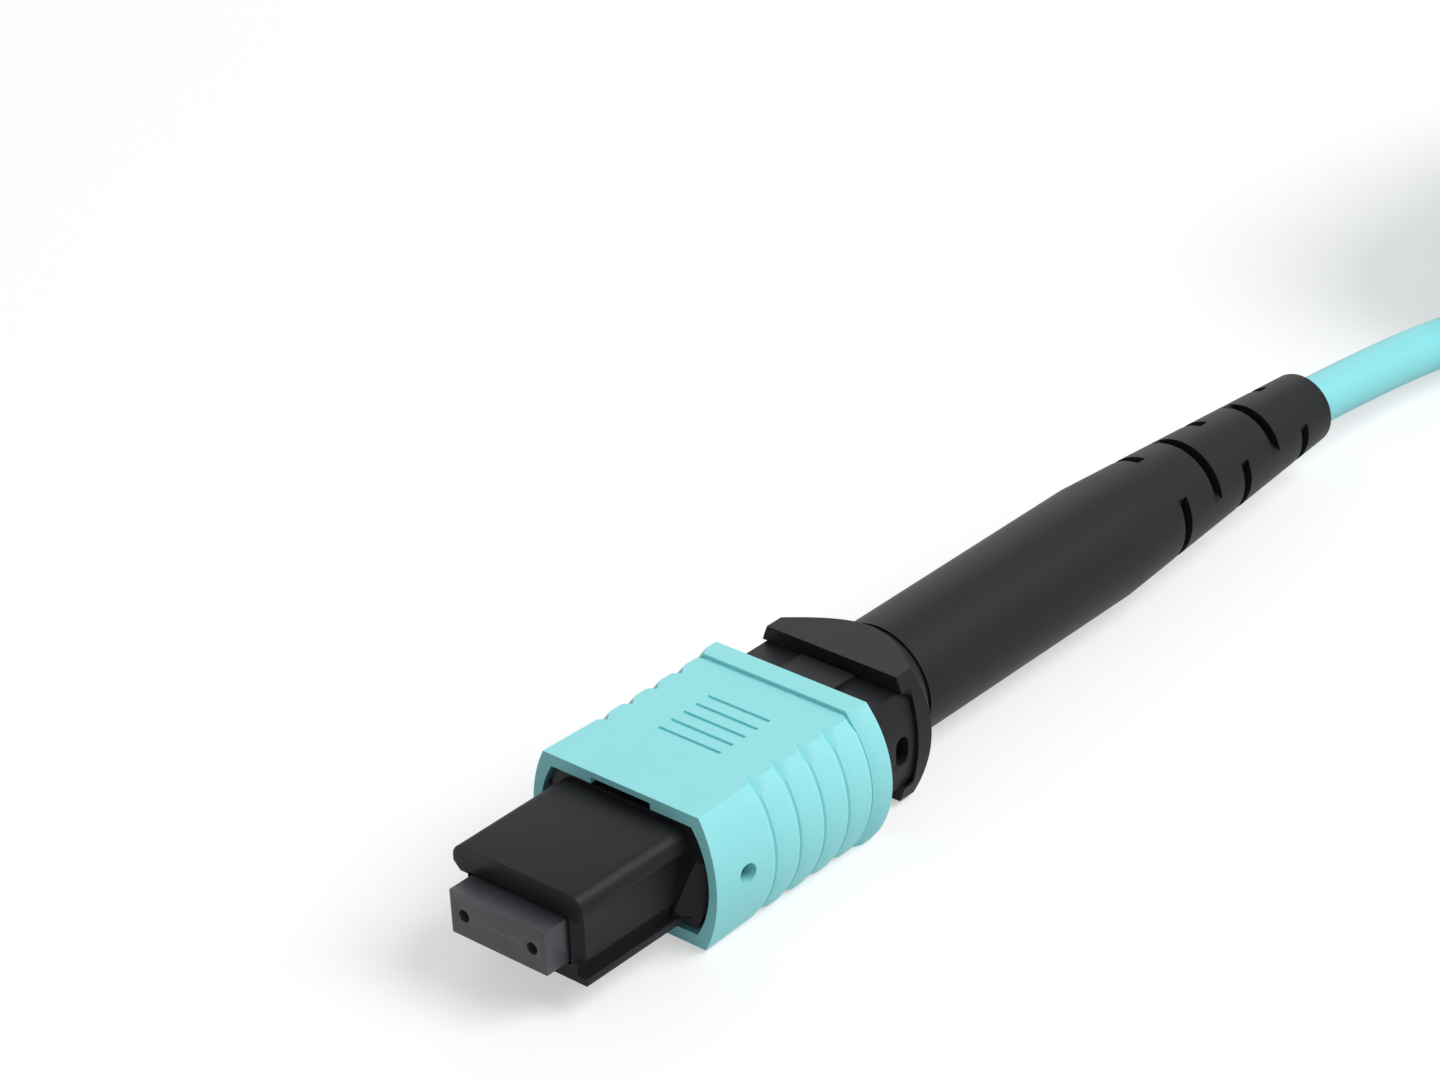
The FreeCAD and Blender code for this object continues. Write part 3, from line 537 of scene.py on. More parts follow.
FINISHES = {
    "sleeve": MouldedPlastic(
        "aqua_moulding", linear(153, 234, 238), roughness=0.5, grain_mm=0.11, grain_depth_mm=0.0035,
        shade=0.035, gloss=0.35,
    ),
    "housing": MouldedPlastic(
        "charcoal_moulding", CHARCOAL, roughness=0.46, grain_mm=0.10, grain_depth_mm=0.005,
        shade=0.14, gloss=0.16,
    ),
    "rear": MouldedPlastic(
        "charcoal_rear_moulding", CHARCOAL, roughness=0.5, grain_mm=0.12, grain_depth_mm=0.004,
        shade=0.14, gloss=0.16,
    ),
    "boot": MouldedPlastic(
        "charcoal_elastomer", linear(29, 30, 32), roughness=0.5, grain_mm=0.14, grain_depth_mm=0.005,
        shade=0.16, gloss=0.16,
    ),
    "jacket": MouldedPlastic(
        "aqua_jacket", linear(144, 230, 235), roughness=0.52, grain_mm=0.10, grain_depth_mm=0.004,
        shade=0.03, gloss=0.45, grain=Grain.DRAWN,
    ),
    "ferrule": PolishedFerrule("filled_ferrule", linear(64, 65, 70), speck=linear(92, 93, 98)),
    "steel": Metal("spring_steel", (0.62, 0.62, 0.63), 0.22, stretch=(1.0, 1.0, 12.0)),
    "crimp": Metal("crimp_sleeve", (0.78, 0.78, 0.8), 0.26, stretch=(1.0, 12.0, 1.0)),
    "fibre": RibbonFibre("fibre_ribbon_coat"),
    "yarn": Strands("aramid_strands", linear(226, 200, 104), thread_mm=0.1),
    "strap": Strands("hook_and_loop_weave", linear(44, 44, 47), thread_mm=0.34, woven=True),
}


# ---------------------------------------------------------------- mesh helpers


def skin(name: str, rings: Sequence[Sequence[Point]]) -> bpy.types.Object:
    """A closed surface through rings of as many points each, the last of which joins the first.

    Args:
        name: the new object's name.
        rings: the rings, in the axis frame, each a closed loop.

    Returns:
        The object, with outward faces, linked to the scene.
    """
    made = bmesh.new()
    lines = [[made.verts.new(row(*spot)) for spot in ring] for ring in rings]
    for near, far in zip(lines, lines[1:] + lines[:1]):
        for k in range(len(near)):
            after = (k + 1) % len(near)
            made.faces.new((near[k], near[after], far[after], far[k]))
    bmesh.ops.remove_doubles(made, verts=made.verts, dist=WELD)
    bmesh.ops.dissolve_degenerate(made, edges=made.edges, dist=WELD)
    bmesh.ops.recalc_face_normals(made, faces=made.faces)
    return as_object(name, made)


def as_object(name: str, made: bmesh.types.BMesh) -> bpy.types.Object:
    """Turn a finished bmesh into a linked object."""
    mesh = bpy.data.meshes.new(name)
    made.to_mesh(mesh)
    made.free()
    piece = bpy.data.objects.new(name, mesh)
    bpy.context.scene.collection.objects.link(piece)
    return piece


def merged_copy(name: str, node: str) -> bpy.types.Object:
    """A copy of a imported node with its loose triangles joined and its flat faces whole."""
    made = bmesh.new()
    made.from_mesh(frame["nodes"][node].data)
    bmesh.ops.remove_doubles(made, verts=made.verts, dist=NODE_WELD)
    bmesh.ops.dissolve_degenerate(made, edges=made.edges, dist=NODE_SLIVER)
    bmesh.ops.dissolve_limit(made, angle_limit=NODE_FLAT, verts=made.verts, edges=made.edges)
    return as_object(name, made)


def smooth(piece: bpy.types.Object) -> None:
    """Shade a piece smooth."""
    for face in piece.data.polygons:
        face.use_smooth = True


def soften(piece: bpy.types.Object, width_mm: float, segments: int = 3, angle: float = 32.0) -> None:
    """Round a piece's edges that turn by more than an angle in degrees, and shade it smooth."""
    smooth(piece)
    bevel = piece.modifiers.new("rounded_edges", "BEVEL")
    bevel.width = width_mm * MM
    bevel.segments = segments
    bevel.limit_method = "ANGLE"
    bevel.angle_limit = math.radians(angle)
    bevel.use_clamp_overlap = True
    bevel.harden_normals = True
    bevel.miter_outer = "MITER_ARC"


def dress(piece: bpy.types.Object, finish: bpy.types.Material) -> None:
    """Give a piece one material."""
    piece.data.materials.clear()
    piece.data.materials.append(finish)


def place(
    piece: bpy.types.Object, body: Body, slot: str, nodes: Iterable[str] = ()
) -> bpy.types.Object:
    """Ride a finished piece on its body and hide the nodes it stands for."""
    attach(piece, body.value)
    names = list(nodes)
    if names:
        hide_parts(*names)
    log.info("piece %s on %s for %s", piece.name, body.value, names or "itself")
    return piece


def bow_radius(half_high: float, bulge: float) -> float:
    """Radius of a side that is 2 * half_high long and bows out by bulge."""
    return (half_high ** 2 + bulge ** 2) / (2 * bulge)


def bow_half(half_high: float, corner_half: float, bulge: float, z: float) -> float:
    """How far a bowed side is from the middle at a height."""
    radius = bow_radius(half_high, bulge)
    return corner_half + bulge - radius + math.sqrt(max(0.0, radius ** 2 - z ** 2))


@dataclass(frozen=True)
class Barrel:
    """The plug's section: flat above and below, with two sides that bow outwards."""

    half_high: float
    corner_half: float
    bulge: float
    column_share: float = 0.84

    def side(self, z: float) -> float:
        """The side's distance from the middle at a height."""
        return bow_half(self.half_high, self.corner_half, self.bulge, z)

    def heights(self, steps: int) -> list[float]:
        """Heights of the side's columns, from the top corner down."""
        low = self.column_share * self.half_high
        bowed = [low * math.cos(math.pi * k / steps) for k in range(steps + 1)]
        return [self.half_high, *bowed, -self.half_high]

    def reach(self, angle: float) -> float:
        """Distance from the axis to the outline in a direction, in radians from +X."""
        across, up = math.cos(angle), math.sin(angle)
        if abs(up) > WELD and abs(self.half_high / up * across) <= self.corner_half:
            return abs(self.half_high / up)
        radius = bow_radius(self.half_high, self.bulge)
        centre = self.corner_half + self.bulge - radius
        return abs(across) * centre + math.sqrt(radius ** 2 - (centre * up) ** 2)


@dataclass(frozen=True)
class Flanked:
    """The pull sleeve's section: flat above and below, sloped corners and bowed flanks."""

    corner_half: float
    flank_high: float
    middle_half: float
    flank_half: float = 5.55
    half_high: float = 3.92

    def side(self, z: float) -> float:
        """The side's distance from the middle at a height."""
        if abs(z) > self.flank_high:
            share = (self.half_high - abs(z)) / (self.half_high - self.flank_high)
            return self.corner_half + (self.flank_half - self.corner_half) * share
        return bow_half(self.flank_high, self.flank_half, self.middle_half - self.flank_half, z)

    def heights(self, steps: int) -> list[float]:
        """Heights of the side's columns, from the top corner down."""
        bowed = [self.flank_high * math.cos(math.pi * k / steps) for k in range(steps + 1)]
        return [self.half_high, *bowed, -self.half_high]

    def cut(self, share: float, depths: Point, groove: float) -> "Flanked":
        """The section with its sides taken in.

        Args:
            share: how much of a notch's depths is taken.
            depths: a notch's depths at the corner, at the flank's height and at the middle.
            groove: how deep a fine groove runs along the flank besides.

        Returns:
            The smaller section.
        """
        corner_in, flank_in, middle_in = (share * depth for depth in depths)
        return Flanked(
            self.corner_half - corner_in, self.flank_high - flank_in,
            self.middle_half - middle_in - groove, self.flank_half - groove, self.half_high,
        )


class RowCut(Recipe):
    """Cuts a row of like openings: a cutter repeated along the plug, each turned a step more."""

    def __init__(self) -> None:
        """Build the tree."""
        super().__init__("row_cut")
        cutter, count = self.asks("Cutter", "Object"), self.asks("Count", "Int")
        first, pitch = self.asks("First", "Float"), self.asks("Pitch", "Float")
        turn, step = self.asks("Turn", "Float"), self.asks("Step Turn", "Float")
        material = self.asks("Material", "Material")
        body = Sock(self, self.entry.outputs[0])
        start = self.node("ShaderNodeCombineXYZ", {}, {1: first})
        stride = self.node("ShaderNodeCombineXYZ", {}, {1: pitch})
        line = self.node(
            "GeometryNodeMeshLine", {"mode": "OFFSET"},
            {"Count": count, "Start Location": start, "Offset": stride},
        )
        number = self.node("GeometryNodeInputIndex", {}, {})
        angle = turn + (number % 2.0) * step
        euler = self.node("ShaderNodeCombineXYZ", {}, {1: angle})
        shape = self.node("GeometryNodeObjectInfo", {}, {"Object": cutter}, "Geometry")
        cuts = self.node(
            "GeometryNodeInstanceOnPoints", {},
            {"Points": line, "Instance": shape, "Rotation": euler},
        )
        real = self.node("GeometryNodeRealizeInstances", {}, {0: cuts})
        done = self.node(
            "GeometryNodeMeshBoolean", {"operation": "DIFFERENCE", "solver": "EXACT"},
            {"Mesh 1": body, "Mesh 2": real},
        )
        self.ends_in(done, material)

    def cut(self, piece: bpy.types.Object, cutter: bpy.types.Object, **values: Any) -> None:
        """Cut the row into a piece and drop the cutter."""
        self.run(piece, Cutter=cutter, **values)
        bpy.data.objects.remove(cutter)


def blocks(name: str, *spans: tuple[Point, Point]) -> bpy.types.Object:
    """A cutter of one or more blocks.

    Args:
        name: the new object's name.
        spans: each block's lowest and highest corners, in millimetres round the origin.

    Returns:
        The cutter.
    """
    made = bmesh.new()
    for low, high in spans:
        middle = [(a + b) / 2 * MM for a, b in zip(low, high)]
        size = [(b - a) * MM for a, b in zip(low, high)]
        shape = Matrix.Translation(middle) @ Matrix.Diagonal((*size, 1))
        bmesh.ops.create_cube(made, size=1.0, matrix=shape)
    return as_object(name, made)


# ---------------------------------------------------------------- sub-assemblies


@dataclass
class PullSleeve:
    """Outer sleeve: bowed sides notched into grip ribs, a rear band, eyes and grip dashes.

    Each row of notch_form is a ring's offset from the notch, its share of notch_depths (at the
    corner, the flank's height and the middle), and the depth of a fine groove besides.
    """

    front: float = 9.18
    back: float = 22.36
    lip: Flanked = Flanked(5.25, 3.3, 6.22)
    crest: Flanked = Flanked(5.1, 3.3, 6.54)
    mouth: Barrel = Barrel(3.2, 4.72, 0.96)
    flat_share: float = 0.68
    relief_half: float = 2.0
    relief_high: float = 0.36
    side_steps: int = 20
    edge_round: float = 0.13
    band_at: float = 21.02
    band_full: float = 0.55
    band_groove: float = 0.1
    band_rim: Flanked = Flanked(4.8, 3.2, 6.47, 5.5, 4.14)
    band: Barrel = Barrel(4.14, 5.1, 1.58)
    rib_count: int = 4
    notch_first: float = 13.4
    notch_depths: Point = (0.45, 0.2, 0.1)
    notch_form: tuple[Point, ...] = (
        (-0.4, 0.0, 0.0), (-0.27, 0.12, 0.0), (-0.05, 0.86, 0.0), (-0.02, 0.96, 0.11), (0.02, 0.98, 0.13),
        (0.14, 0.78, 0.0), (0.52, 0.13, 0.0), (0.72, 0.0, 0.0),
    )
    eye_at: float = 11.37
    eye_wide: float = 1.1
    eye_reach: float = 20.0
    eye_sides: int = 40
    dash_first: float = 14.4
    dash_pitch: float = 0.95
    dash_count: int = 5
    dash_long: float = 4.2
    dash_wide: float = 0.24
    dash_deep: float = 0.12
    dash_clear: float = 0.3

    def ring(self, y: float, shape: Union[Barrel, Flanked], relief: float = 0.0) -> list[Point]:
        """One ring of the sleeve.

        Args:
            y: place along the plug.
            shape: the ring's outline.
            relief: how much higher the flat's middle is.

        Returns:
            The ring's points.
        """
        low, high = shape.half_high, shape.half_high + relief
        edge, step = self.flat_share * shape.corner_half, self.relief_half
        half = [
            (-edge, low), (-step, low), (-step, high), (0.0, high), (step, high), (step, low), (edge, low),
        ]
        half += [(shape.side(z), z) for z in shape.heights(self.side_steps)]
        return [(x, y, z) for x, z in half] + [(-x, y, -z) for x, z in half]

    def shell(self) -> bpy.types.Object:
        """The sleeve's skin before its small openings."""
        pitch = (self.band_at - self.notch_first) / self.rib_count
        rings = [self.ring(self.front, self.lip)]
        for number in range(self.rib_count + 1):
            for offset, share, groove in self.notch_form:
                y = self.notch_first + number * pitch + offset
                if y < self.band_at:
                    rings.append(self.ring(y, self.crest.cut(share, self.notch_depths, groove)))
        rings += [
            self.ring(self.band_at, self.crest.cut(1.0, self.notch_depths, self.band_groove)),
            self.ring(self.band_at, self.band_rim),
            self.ring(self.band_at + self.band_full, self.band),
            self.ring(self.back, self.band),
            self.ring(self.back, self.mouth, self.relief_high),
            self.ring(self.front, self.mouth, self.relief_high),
        ]
        return skin("pull_sleeve_shell", rings)

    def dash_bar(self) -> bpy.types.Object:
        """One dash's cutter, at the height of the sleeve's top."""
        top = AXIS_HIGH + self.crest.half_high
        half_long, half_wide = self.dash_long / 2, self.dash_wide / 2
        low = (-half_long, -half_wide, top - self.dash_deep)
        high = (half_long, half_wide, top + self.dash_clear)
        return blocks("dash_cutter", (low, high))

    def eye_drill(self) -> bpy.types.Object:
        """The cutter of both eyes, across the plug at the axis's height."""
        made = bmesh.new()
        lie = Matrix.Translation((0, 0, AXIS_HIGH * MM)) @ Matrix.Rotation(math.pi / 2, 4, "Y")
        radius = self.eye_wide / 2 * MM
        bmesh.ops.create_cone(
            made, cap_ends=True, segments=self.eye_sides, radius1=radius, radius2=radius,
            depth=self.eye_reach * MM, matrix=lie,
        )
        return as_object("eye_cutter", made)

    def build(self, finish: bpy.types.Material) -> None:
        """Make, cut, dress and place the sleeve."""
        piece = self.shell()
        cut = RowCut()
        cut.cut(
            piece, self.dash_bar(), Count=self.dash_count, First=(self.dash_first + FACE_AT) * MM,
            Pitch=self.dash_pitch * MM, Turn=0.0, Step_Turn=0.0, Material=finish,
        )
        cut.cut(
            piece, self.eye_drill(), Count=1, First=(self.eye_at + FACE_AT) * MM,
            Pitch=0.0, Turn=0.0, Step_Turn=0.0, Material=finish,
        )
        soften(piece, self.edge_round)
        dress(piece, finish)
        place(piece, Body.SLEEVE, "aqua_sleeve", ["coupling_sleeve"])


@dataclass
class Boot:
    """Strain relief: bowed flange with front pads, cone, tube and a slotted taper.

    Each row of bores is a radius and the place along the plug where the bore has it, from the
    end forward. Slots are cut in opposite pairs, each pair a quarter turn on from the last.
    """

    pad_front: float = 25.6
    flange_at: float = 26.3
    flange: Barrel = Barrel(3.8, 4.4, 0.8)
    pad_low: float = 2.9
    cone_at: float = 26.75
    tube_at: float = 29.2
    tube_radius: float = 3.5
    groove_wide: float = 0.28
    groove_deep: float = 0.14
    taper_at: float = 48.3
    tip_radius: float = 2.22
    tip_round: float = 0.3
    end: float = 68.8
    bores: tuple[Flat, ...] = (
        (1.83, 68.8), (1.53, 68.5), (1.53, 39.0), (2.05, 38.4), (2.05, 35.6), (2.85, 33.8),
        (2.85, 26.3),
    )
    slot_first: float = 53.0
    slot_pitch: float = 3.15
    slot_wide: float = 0.75
    slot_core: float = 1.6
    slot_far: float = 7.7
    slot_half_long: float = 5.6
    slot_count: int = 5
    slot_turn: float = 28.0
    step_degrees: float = 4.0
    slack: float = 1e-6
    edge_round: float = 0.1

    def angles(self) -> list[float]:
        """Directions of the columns, with one at each corner and two at each pad's edge."""
        corner = math.atan2(self.flange.half_high, self.flange.corner_half)
        edge = math.atan2(self.pad_low, self.flange.side(self.pad_low))
        marks = sorted(
            a % (2 * math.pi)
            for base in (corner, edge)
            for a in (base, math.pi - base, math.pi + base, -base)
        )
        step = math.radians(self.step_degrees)
        out = []
        for low, high in zip(marks, marks[1:] + [marks[0] + 2 * math.pi]):
            count = max(1, round((high - low) / step))
            out += [low + (high - low) * k / count for k in range(count)]
        return out

    def round_ring(self, y: float, radius: float) -> list[Point]:
        """A round ring on the columns."""
        return [(radius * math.cos(a), y, radius * math.sin(a)) for a in self.angles()]

    def rings(self) -> list[list[Point]]:
        """All rings of the boot's skin, from the flange back, then forward through the bore."""
        corner = math.hypot(self.flange.half_high, self.flange.corner_half)
        fall = (self.tube_at - self.cone_at) / (corner - self.tube_radius)
        edge = math.atan2(self.pad_low, self.flange.side(self.pad_low))
        rim, ridge, inner_rim, inner_front = [], [], [], []
        for angle in self.angles():
            reach = self.flange.reach(angle)
            x, z = reach * math.cos(angle), reach * math.sin(angle)
            in_pad = edge - self.slack <= math.asin(abs(math.sin(angle)))
            rim.append((x, self.pad_front if in_pad else self.flange_at, z))
            ridge.append((x, self.tube_at - (reach - self.tube_radius) * fall, z))
            low = math.copysign(self.pad_low, z) if in_pad else z
            wide = min(1.0, self.flange.side(self.pad_low) / self.flange.corner_half)
            inner = x * wide if in_pad and abs(z) > self.flange.half_high - self.slack else x
            inner_rim.append((inner, self.flange_at, low))
            inner_front.append((inner, self.pad_front if in_pad else self.flange_at, low))
        groove = self.tube_radius - self.groove_deep
        out = [
            rim, ridge,
            self.round_ring(self.tube_at, self.tube_radius),
            self.round_ring(self.tube_at, groove),
            self.round_ring(self.tube_at + self.groove_wide, groove),
            self.round_ring(self.tube_at + self.groove_wide, self.tube_radius),
            self.round_ring(self.taper_at, self.tube_radius),
            self.round_ring(self.end - self.tip_round, self.tip_radius),
            self.round_ring(self.end, self.tip_radius - self.tip_round),
        ]
        out += [self.round_ring(y, radius) for radius, y in self.bores]
        out += [inner_rim, inner_front]
        return out

    def slabs(self) -> bpy.types.Object:
        """One pair's cutter: a slab on either side of the core, round the plug's axis."""
        half_wide, half_long = self.slot_wide / 2, self.slot_half_long
        right = (self.slot_core, -half_wide, -half_long), (self.slot_far, half_wide, half_long)
        left = (-self.slot_far, -half_wide, -half_long), (-self.slot_core, half_wide, half_long)
        return blocks("slot_cutter", right, left)

    def build(self, finish: bpy.types.Material) -> None:
        """Make, cut, dress and place the boot; it is cut while its axis is at the origin."""
        piece = skin("boot_skin", self.rings())
        for vertex in piece.data.vertices:
            vertex.co.z -= AXIS_HIGH * MM
        RowCut().cut(
            piece, self.slabs(), Count=self.slot_count, First=(self.slot_first + FACE_AT) * MM,
            Pitch=self.slot_pitch * MM, Turn=math.radians(self.slot_turn),
            Step_Turn=math.pi / 2, Material=finish,
        )
        for vertex in piece.data.vertices:
            vertex.co.z += AXIS_HIGH * MM
        soften(piece, self.edge_round)
        dress(piece, finish)
        place(piece, Body.HOUSING, "black_boot", ["strain_relief_boot"])


@dataclass(frozen=True)
class Moulding:
    """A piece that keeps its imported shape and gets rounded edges."""

    name: str
    node: str
    body: Body
    slot: str
    finish: str
    edge_round: float

    def build(self, finishes: dict[str, bpy.types.Material]) -> None:
        """Make, dress and place the piece."""
        piece = merged_copy(self.name, self.node)
        soften(piece, self.edge_round)
        dress(piece, finishes[self.finish])
        place(piece, self.body, self.slot, [self.node])


@dataclass
class Core:
    """The housing, the ferrule, the springs and what is hidden inside."""

    mouldings: tuple[Moulding, ...] = (
        Moulding("plug_frame_moulding", "plug_frame", Body.HOUSING, "black_housing", "housing", 0.1),
        Moulding("rear_body_moulding", "rear_body", Body.HOUSING, "black_rear_body", "rear", 0.12),
        Moulding("ferrule_moulding", "mt_ferrule", Body.FERRULE, "ferrule_plastic", "ferrule", 0.03),
    )
    kept: tuple[tuple[str, str], ...] = (
        ("ferrule_boot", "boot"), ("pin_keeper", "steel"), ("fibre_ribbon", "fibre"),
        ("aramid_yarn", "yarn"), ("crimp_ring", "crimp"), ("cable_in_boot", "jacket"),
    )

    def springs(self, finish: bpy.types.Material) -> None:
        """Copy each spring, which shortens towards its fixed end as its joint moves."""
        for joint in frame["record"]["behaviour"]["joints"]:
            for spring in joint["deforming_nodes"]:
                node = spring["node"]
                piece = merged_copy(f"{node}_wire", node)
                smooth(piece)
                dress(piece, finish)
                place(piece, Body.HOUSING, "spring_steel", [node])
                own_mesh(piece)

    def keep(self, finishes: dict[str, bpy.types.Material]) -> None:
        """Give the nodes that stay as they are their finishes."""
        for node, finish in self.kept:
            for slot in frame["nodes"][node].material_slots:
                slot.material = finishes[finish]
            log.info("node %s keeps its shape, in %s", node, finish)

    def build(self, finishes: dict[str, bpy.types.Material]) -> None:
        """Build the mouldings and springs, and dress the nodes that stay."""
        for moulding in self.mouldings:
            moulding.build(finishes)
        self.springs(finishes["steel"])
        self.keep(finishes)


@dataclass
class Cable:
    """The round cable: its lead behind the boot, and its length wound in a tied hank."""

    thick: float = 3.0
    length_m: float = 0.96
    lead: tuple[Point, ...] = (
        (0.0, 68.8, 0.0), (0.1, 73.5, -0.35), (0.35, 80.2, -0.95), (0.1, 87.0, -2.4),
        (-3.4, 93.0, -2.4), (-5.5, 98.6, -2.1),
    )
    middle_x: float = 6.0
    near: float = 102.0
    far: float = 126.0
    outer: float = 12.0
    inner: float = 9.0
    lowest: float = -2.04
    turns: int = 4
    bends: int = 6
    cross_from: float = 2.0
    cross_run: float = 8.0
    cross_aside: float = 0.6
    path_steps: int = 6
    round_steps: int = 8

    def lane(self, radius: float, level: float, climb: float, half: int) -> list[Point]:
        """Control points of one turn, from the start of one straight run.

        Args:
            radius: the turn's end radius.
            level: height at its start.
            climb: how much it rises in the turn.
            half: 0 to start with the left run, 1 to start at the far end.

        Returns:
            The turn's control points.
        """
        run = self.far - self.near
        bend = math.pi * radius
        whole = 2 * (run + bend)
        reach = radius / math.cos(math.pi / (2 * self.bends))
        tip = radius * math.tan(math.pi / (2 * self.bends))
        legs: list[tuple[float, float, float]] = []
        for side in (-1, 1):
            base = 0.0 if side < 0 else run + bend
            ends = self.near + tip, self.far - tip
            start, stop = ends if side < 0 else ends[::-1]
            x = self.middle_x + side * radius
            legs += [(x, start, base + tip), (x, stop, base + run - tip)]
            centre = self.far if side < 0 else self.near
            for k in range(self.bends):
                share = (k + 0.5) / self.bends
                angle = math.pi * (1 - share) if side < 0 else -math.pi * share
                legs.append((
                    self.middle_x + reach * math.cos(angle), centre + reach * math.sin(angle),
                    base + run + bend * share,
                ))
        if half:
            legs = legs[2:] + [(x, y, gone + whole) for x, y, gone in legs[:2]]
            offset = run
        else:
            offset = 0.0
        return [(x, y, level + climb * (gone - offset) / whole) for x, y, gone in legs]

    def route(self) -> list[Point]:
        """All control points of the cable."""
        points = list(self.lead)
        for number in range(self.turns):
            points += self.lane(self.outer, self.lowest + number * self.thick, self.thick, 0)
        top = self.lowest + self.turns * self.thick
        points += [
            (self.middle_x - self.outer, self.near + self.cross_from, top),
            (self.middle_x - self.outer + self.cross_aside, self.near + self.cross_run, top),
            (self.middle_x - self.inner - self.cross_aside, self.far - self.cross_run, top),
            (self.middle_x - self.inner, self.far - self.cross_from, top),
        ]
        for number in range(self.turns):
            points += self.lane(self.inner, top - number * self.thick, -self.thick, 1)
        return points

    def build(self, finish: bpy.types.Material, strap: bpy.types.Object) -> None:
        points = self.route()
        curve = bpy.data.curves.new("round_cable", "CURVE")
        curve.dimensions = "3D"
        spline = curve.splines.new("NURBS")
        spline.points.add(len(points) - 1)
        for spot, target in zip(points, spline.points):
            target.co = (*row(*spot), 1.0)
        spline.order_u = 3
        spline.use_endpoint_u = True
        spline.resolution_u = self.path_steps
        curve.bevel_depth = self.thick / 2 * MM
        curve.bevel_resolution = self.round_steps
        curve.use_fill_caps = True
        piece = bpy.data.objects.new("round_cable", curve)
        bpy.context.scene.collection.objects.link(piece)
        curve.materials.append(finish)
        place(piece, Body.HOUSING, "cable_jacket", ["cable_lead", "cable_hank"])
        tuple(row(*self.lead[0]))


@dataclass
class Strap:
    """Hook-and-loop strap round the hank, its end lapped over its start.

    Each row of lap is a place across from the hank's middle and a height above the first layer.
    """

    middle_x: float = 6.0
    half: float = 13.5
    low: float = -4.14
    high: float = 15.0
    thick: float = 0.6
    wall_share: float = 0.94
    wide: float = 5.0
    centre: float = 114.0
    corner: float = 2.2
    corner_steps: int = 6
    start: float = -2.0
    lap: tuple[Flat, ...] = ((-4.5, 0.0), (-2.4, 0.15), (-1.2, 0.5), (0.0, 0.6), (7.0, 0.6))
    edge_round: float = 0.14
    edge_segments: int = 2
    edge_angle: float = 40.0

    def path(self) -> list[Flat]:
        """The strap's middle line from its start on the top, round, and over itself."""
        out, r = self.thick / 2, self.corner
        left, right = self.middle_x - self.half - out, self.middle_x + self.half + out
        low, high = self.low + out, self.low + self.high + self.thick + out
        corners = (
            (right - r, high - r, 90.0), (right - r, low + r, 0.0), (left + r, low + r, -90.0),
            (left + r, high - r, -180.0),
        )
        spots: list[Flat] = [(self.middle_x + self.start, high)]
        for across, up, turn in corners:
            for k in range(self.corner_steps + 1):
                angle = math.radians(turn - 90.0 * k / self.corner_steps)
                spots.append((across + r * math.cos(angle), up + r * math.sin(angle)))
        return spots + [(self.middle_x + aside, high + rise) for aside, rise in self.lap]

    def build(self, finish: bpy.types.Material) -> bpy.types.Object:
        """Make, dress and place the strap."""
        made = bmesh.new()
        path = self.path()
        near, far = (
            [made.verts.new(row(x, self.centre + side * self.wide / 2, z)) for x, z in path]
            for side in (-1, 1)
        )
        for k in range(len(path) - 1):
            made.faces.new((near[k], near[k + 1], far[k + 1], far[k]))
        bmesh.ops.recalc_face_normals(made, faces=made.faces)
        piece = as_object("hank_strap", made)
        wall = piece.modifiers.new("strap_thickness", "SOLIDIFY")
        wall.thickness = self.thick * MM * self.wall_share
        wall.offset = 0.0
        soften(piece, self.edge_round, self.edge_segments, self.edge_angle)
        dress(piece, finish)
        return place(piece, Body.HOUSING, "tie_strap", ["hank_tie"])


@dataclass(frozen=True)
class Lamp:
    """One soft square lamp that faces the plug's middle; places and sizes in metres."""

    name: str
    spot: Point
    watts: float
    size: float = 0.6

    def build(self) -> None:
        """Hang the lamp."""
        data = bpy.data.lights.new(self.name, "AREA")
        data.shape = "SQUARE"
        data.size = self.size
        data.energy = self.watts
        lamp = bpy.data.objects.new(self.name, data)
        bpy.context.scene.collection.objects.link(lamp)
        lamp.location = self.spot
        lamp.rotation_euler = (-Vector(self.spot)).to_track_quat("-Z", "Y").to_euler()


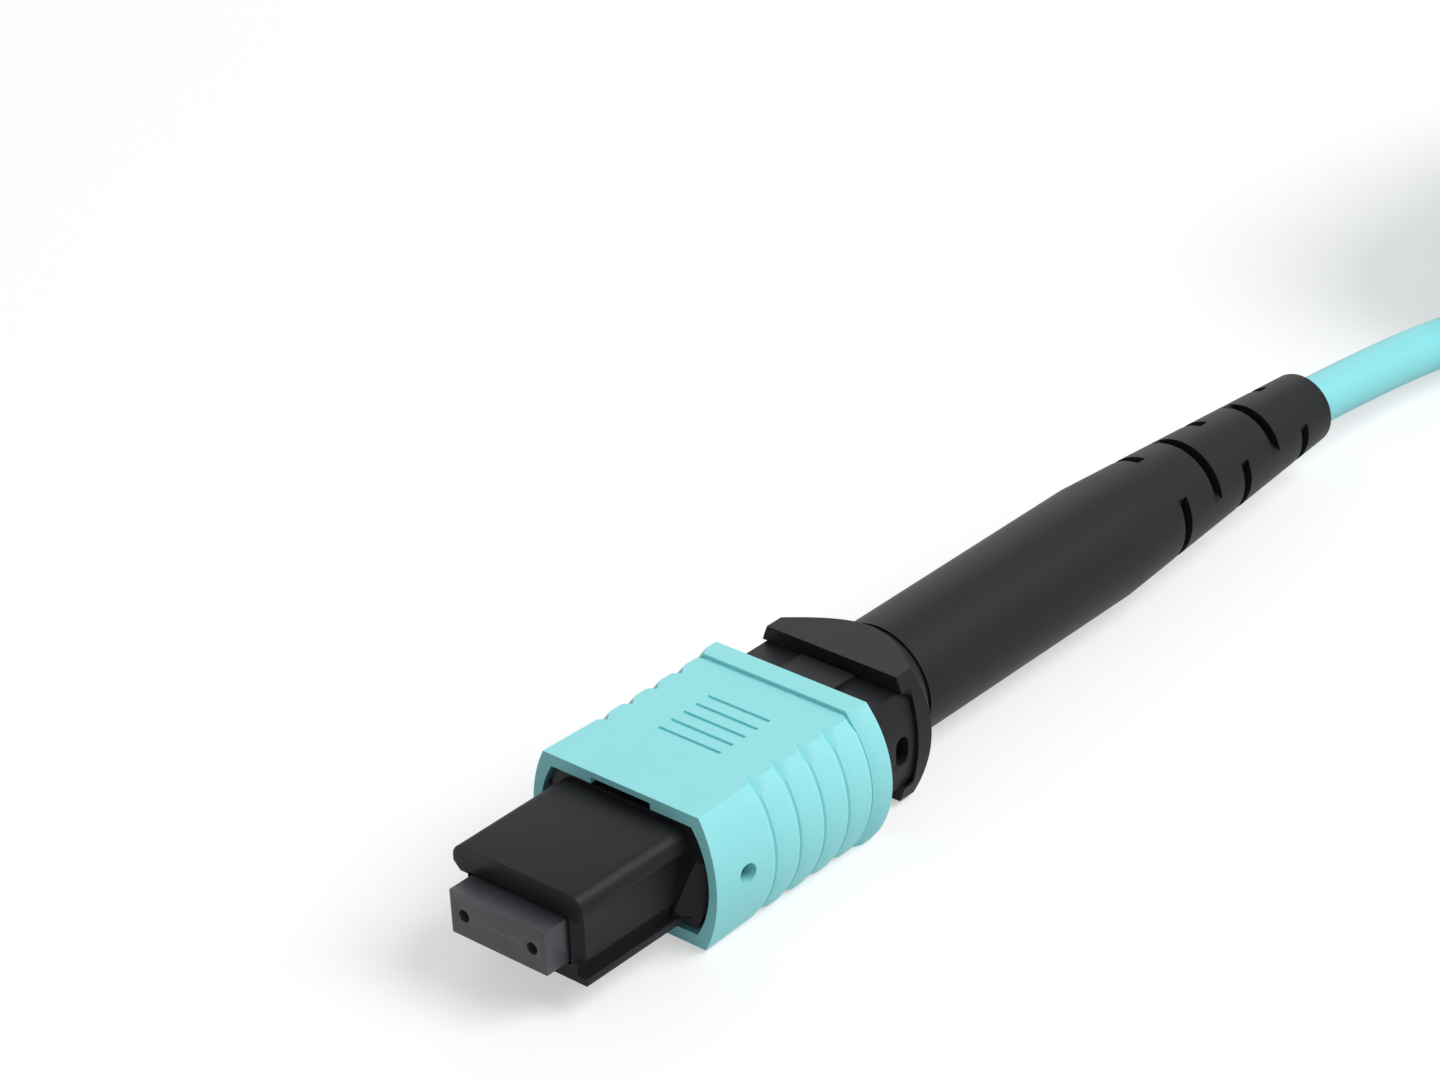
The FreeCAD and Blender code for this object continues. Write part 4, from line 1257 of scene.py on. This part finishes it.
@dataclass
class Studio:
    """Pale floor, soft lights and the camera.

    The camera's angles are in degrees, and its places and lens in millimetres. The floor's and
    the lamps' sizes are in metres.
    """

    azimuth: float = 42.617
    elevation: float = 29.101
    roll: float = -3.019
    distance: float = 215.714
    aside: float = 10.865
    above: float = 19.197
    focal: float = 110.219
    sensor: float = 36.0
    nearest: float = 0.01
    farthest: float = 20.0
    floor_half: float = 3.0
    floor_tones: Flat = (0.60, 0.61)
    floor_cloud_mm: float = 40.0
    floor_lift: float = 0.5
    sky: float = 0.33
    lamps: tuple[Lamp, ...] = (
        Lamp("key_light", (0.58, 0.28, 0.73), 7.1),
        Lamp("back_light", (-0.56, 0.61, 0.46), 0.8),
    )

    def floor(self) -> None:
        """A wide pale floor whose camera view is near white and keeps the shadow."""
        made = bmesh.new()
        bmesh.ops.create_grid(made, x_segments=1, y_segments=1, size=self.floor_half)
        piece = as_object("floor", made)
        look = Look("pale_floor")
        dark, pale = ((tone, tone, tone) for tone in self.floor_tones)
        tone = look.tint(look.noise(self.floor_cloud_mm, 2.0) * 0.5, dark, pale)
        paint = look.node("ShaderNodeBsdfDiffuse", {}, {"Color": tone})
        glow = look.node("ShaderNodeEmission", {}, {"Strength": look.seen() * self.floor_lift})
        dress(piece, look.close(look.node("ShaderNodeAddShader", {}, {0: paint, 1: glow})))

    def world(self) -> None:
        """White to the camera and in reflections, and a plain light level elsewhere."""
        world = bpy.data.worlds.new("studio")
        world.use_nodes = True
        world.node_tree.nodes.clear()
        bpy.context.scene.world = world
        graph = Graph(world.node_tree)
        strength = self.sky + graph.seen() * (1.0 - self.sky)
        light = graph.node("ShaderNodeBackground", {}, {"Color": (1, 1, 1, 1), "Strength": strength})
        graph.add("ShaderNodeOutputWorld", {}, {"Surface": light})

    def camera(self) -> None:
        """The camera at the plug's front right, a little above."""
        a, e, r = (math.radians(v) for v in (self.azimuth, self.elevation, self.roll))
        back = Vector((math.sin(a) * math.cos(e), -math.cos(a) * math.cos(e), math.sin(e)))
        right = Vector((math.cos(a), math.sin(a), 0.0))
        up = back.cross(right)
        side = right * math.cos(r) + up * math.sin(r)
        top = up * math.cos(r) - right * math.sin(r)
        eye = back * self.distance + side * self.aside + top * self.above
        data = bpy.data.cameras.new("camera")
        data.lens = self.focal
        data.sensor_width = self.sensor
        data.clip_start = self.nearest
        data.clip_end = self.farthest
        camera = bpy.data.objects.new("camera", data)
        turn = Matrix((side, top, back)).transposed().to_4x4()
        camera.matrix_world = Matrix.Translation(row(*eye)) @ turn
        bpy.context.scene.collection.objects.link(camera)
        bpy.context.scene.camera = camera

    def build(self) -> None:
        """Set up everything that isn't the object."""
        self.floor()
        self.world()
        for lamp in self.lamps:
            lamp.build()
        self.camera()
        bpy.context.scene.view_settings.view_transform = "Standard"


def main() -> None:
    """Build the studio and every piece, in order from the camera and cable to the nose."""
    Studio().build()
    finishes = {name: finish.material() for name, finish in FINISHES.items()}
    strap = Strap().build(finishes["strap"])
    Cable().build(finishes["jacket"], strap)
    PullSleeve().build(finishes["sleeve"])
    Boot().build(finishes["boot"])
    Core().build(finishes)


if __name__ == "__main__":
    main()
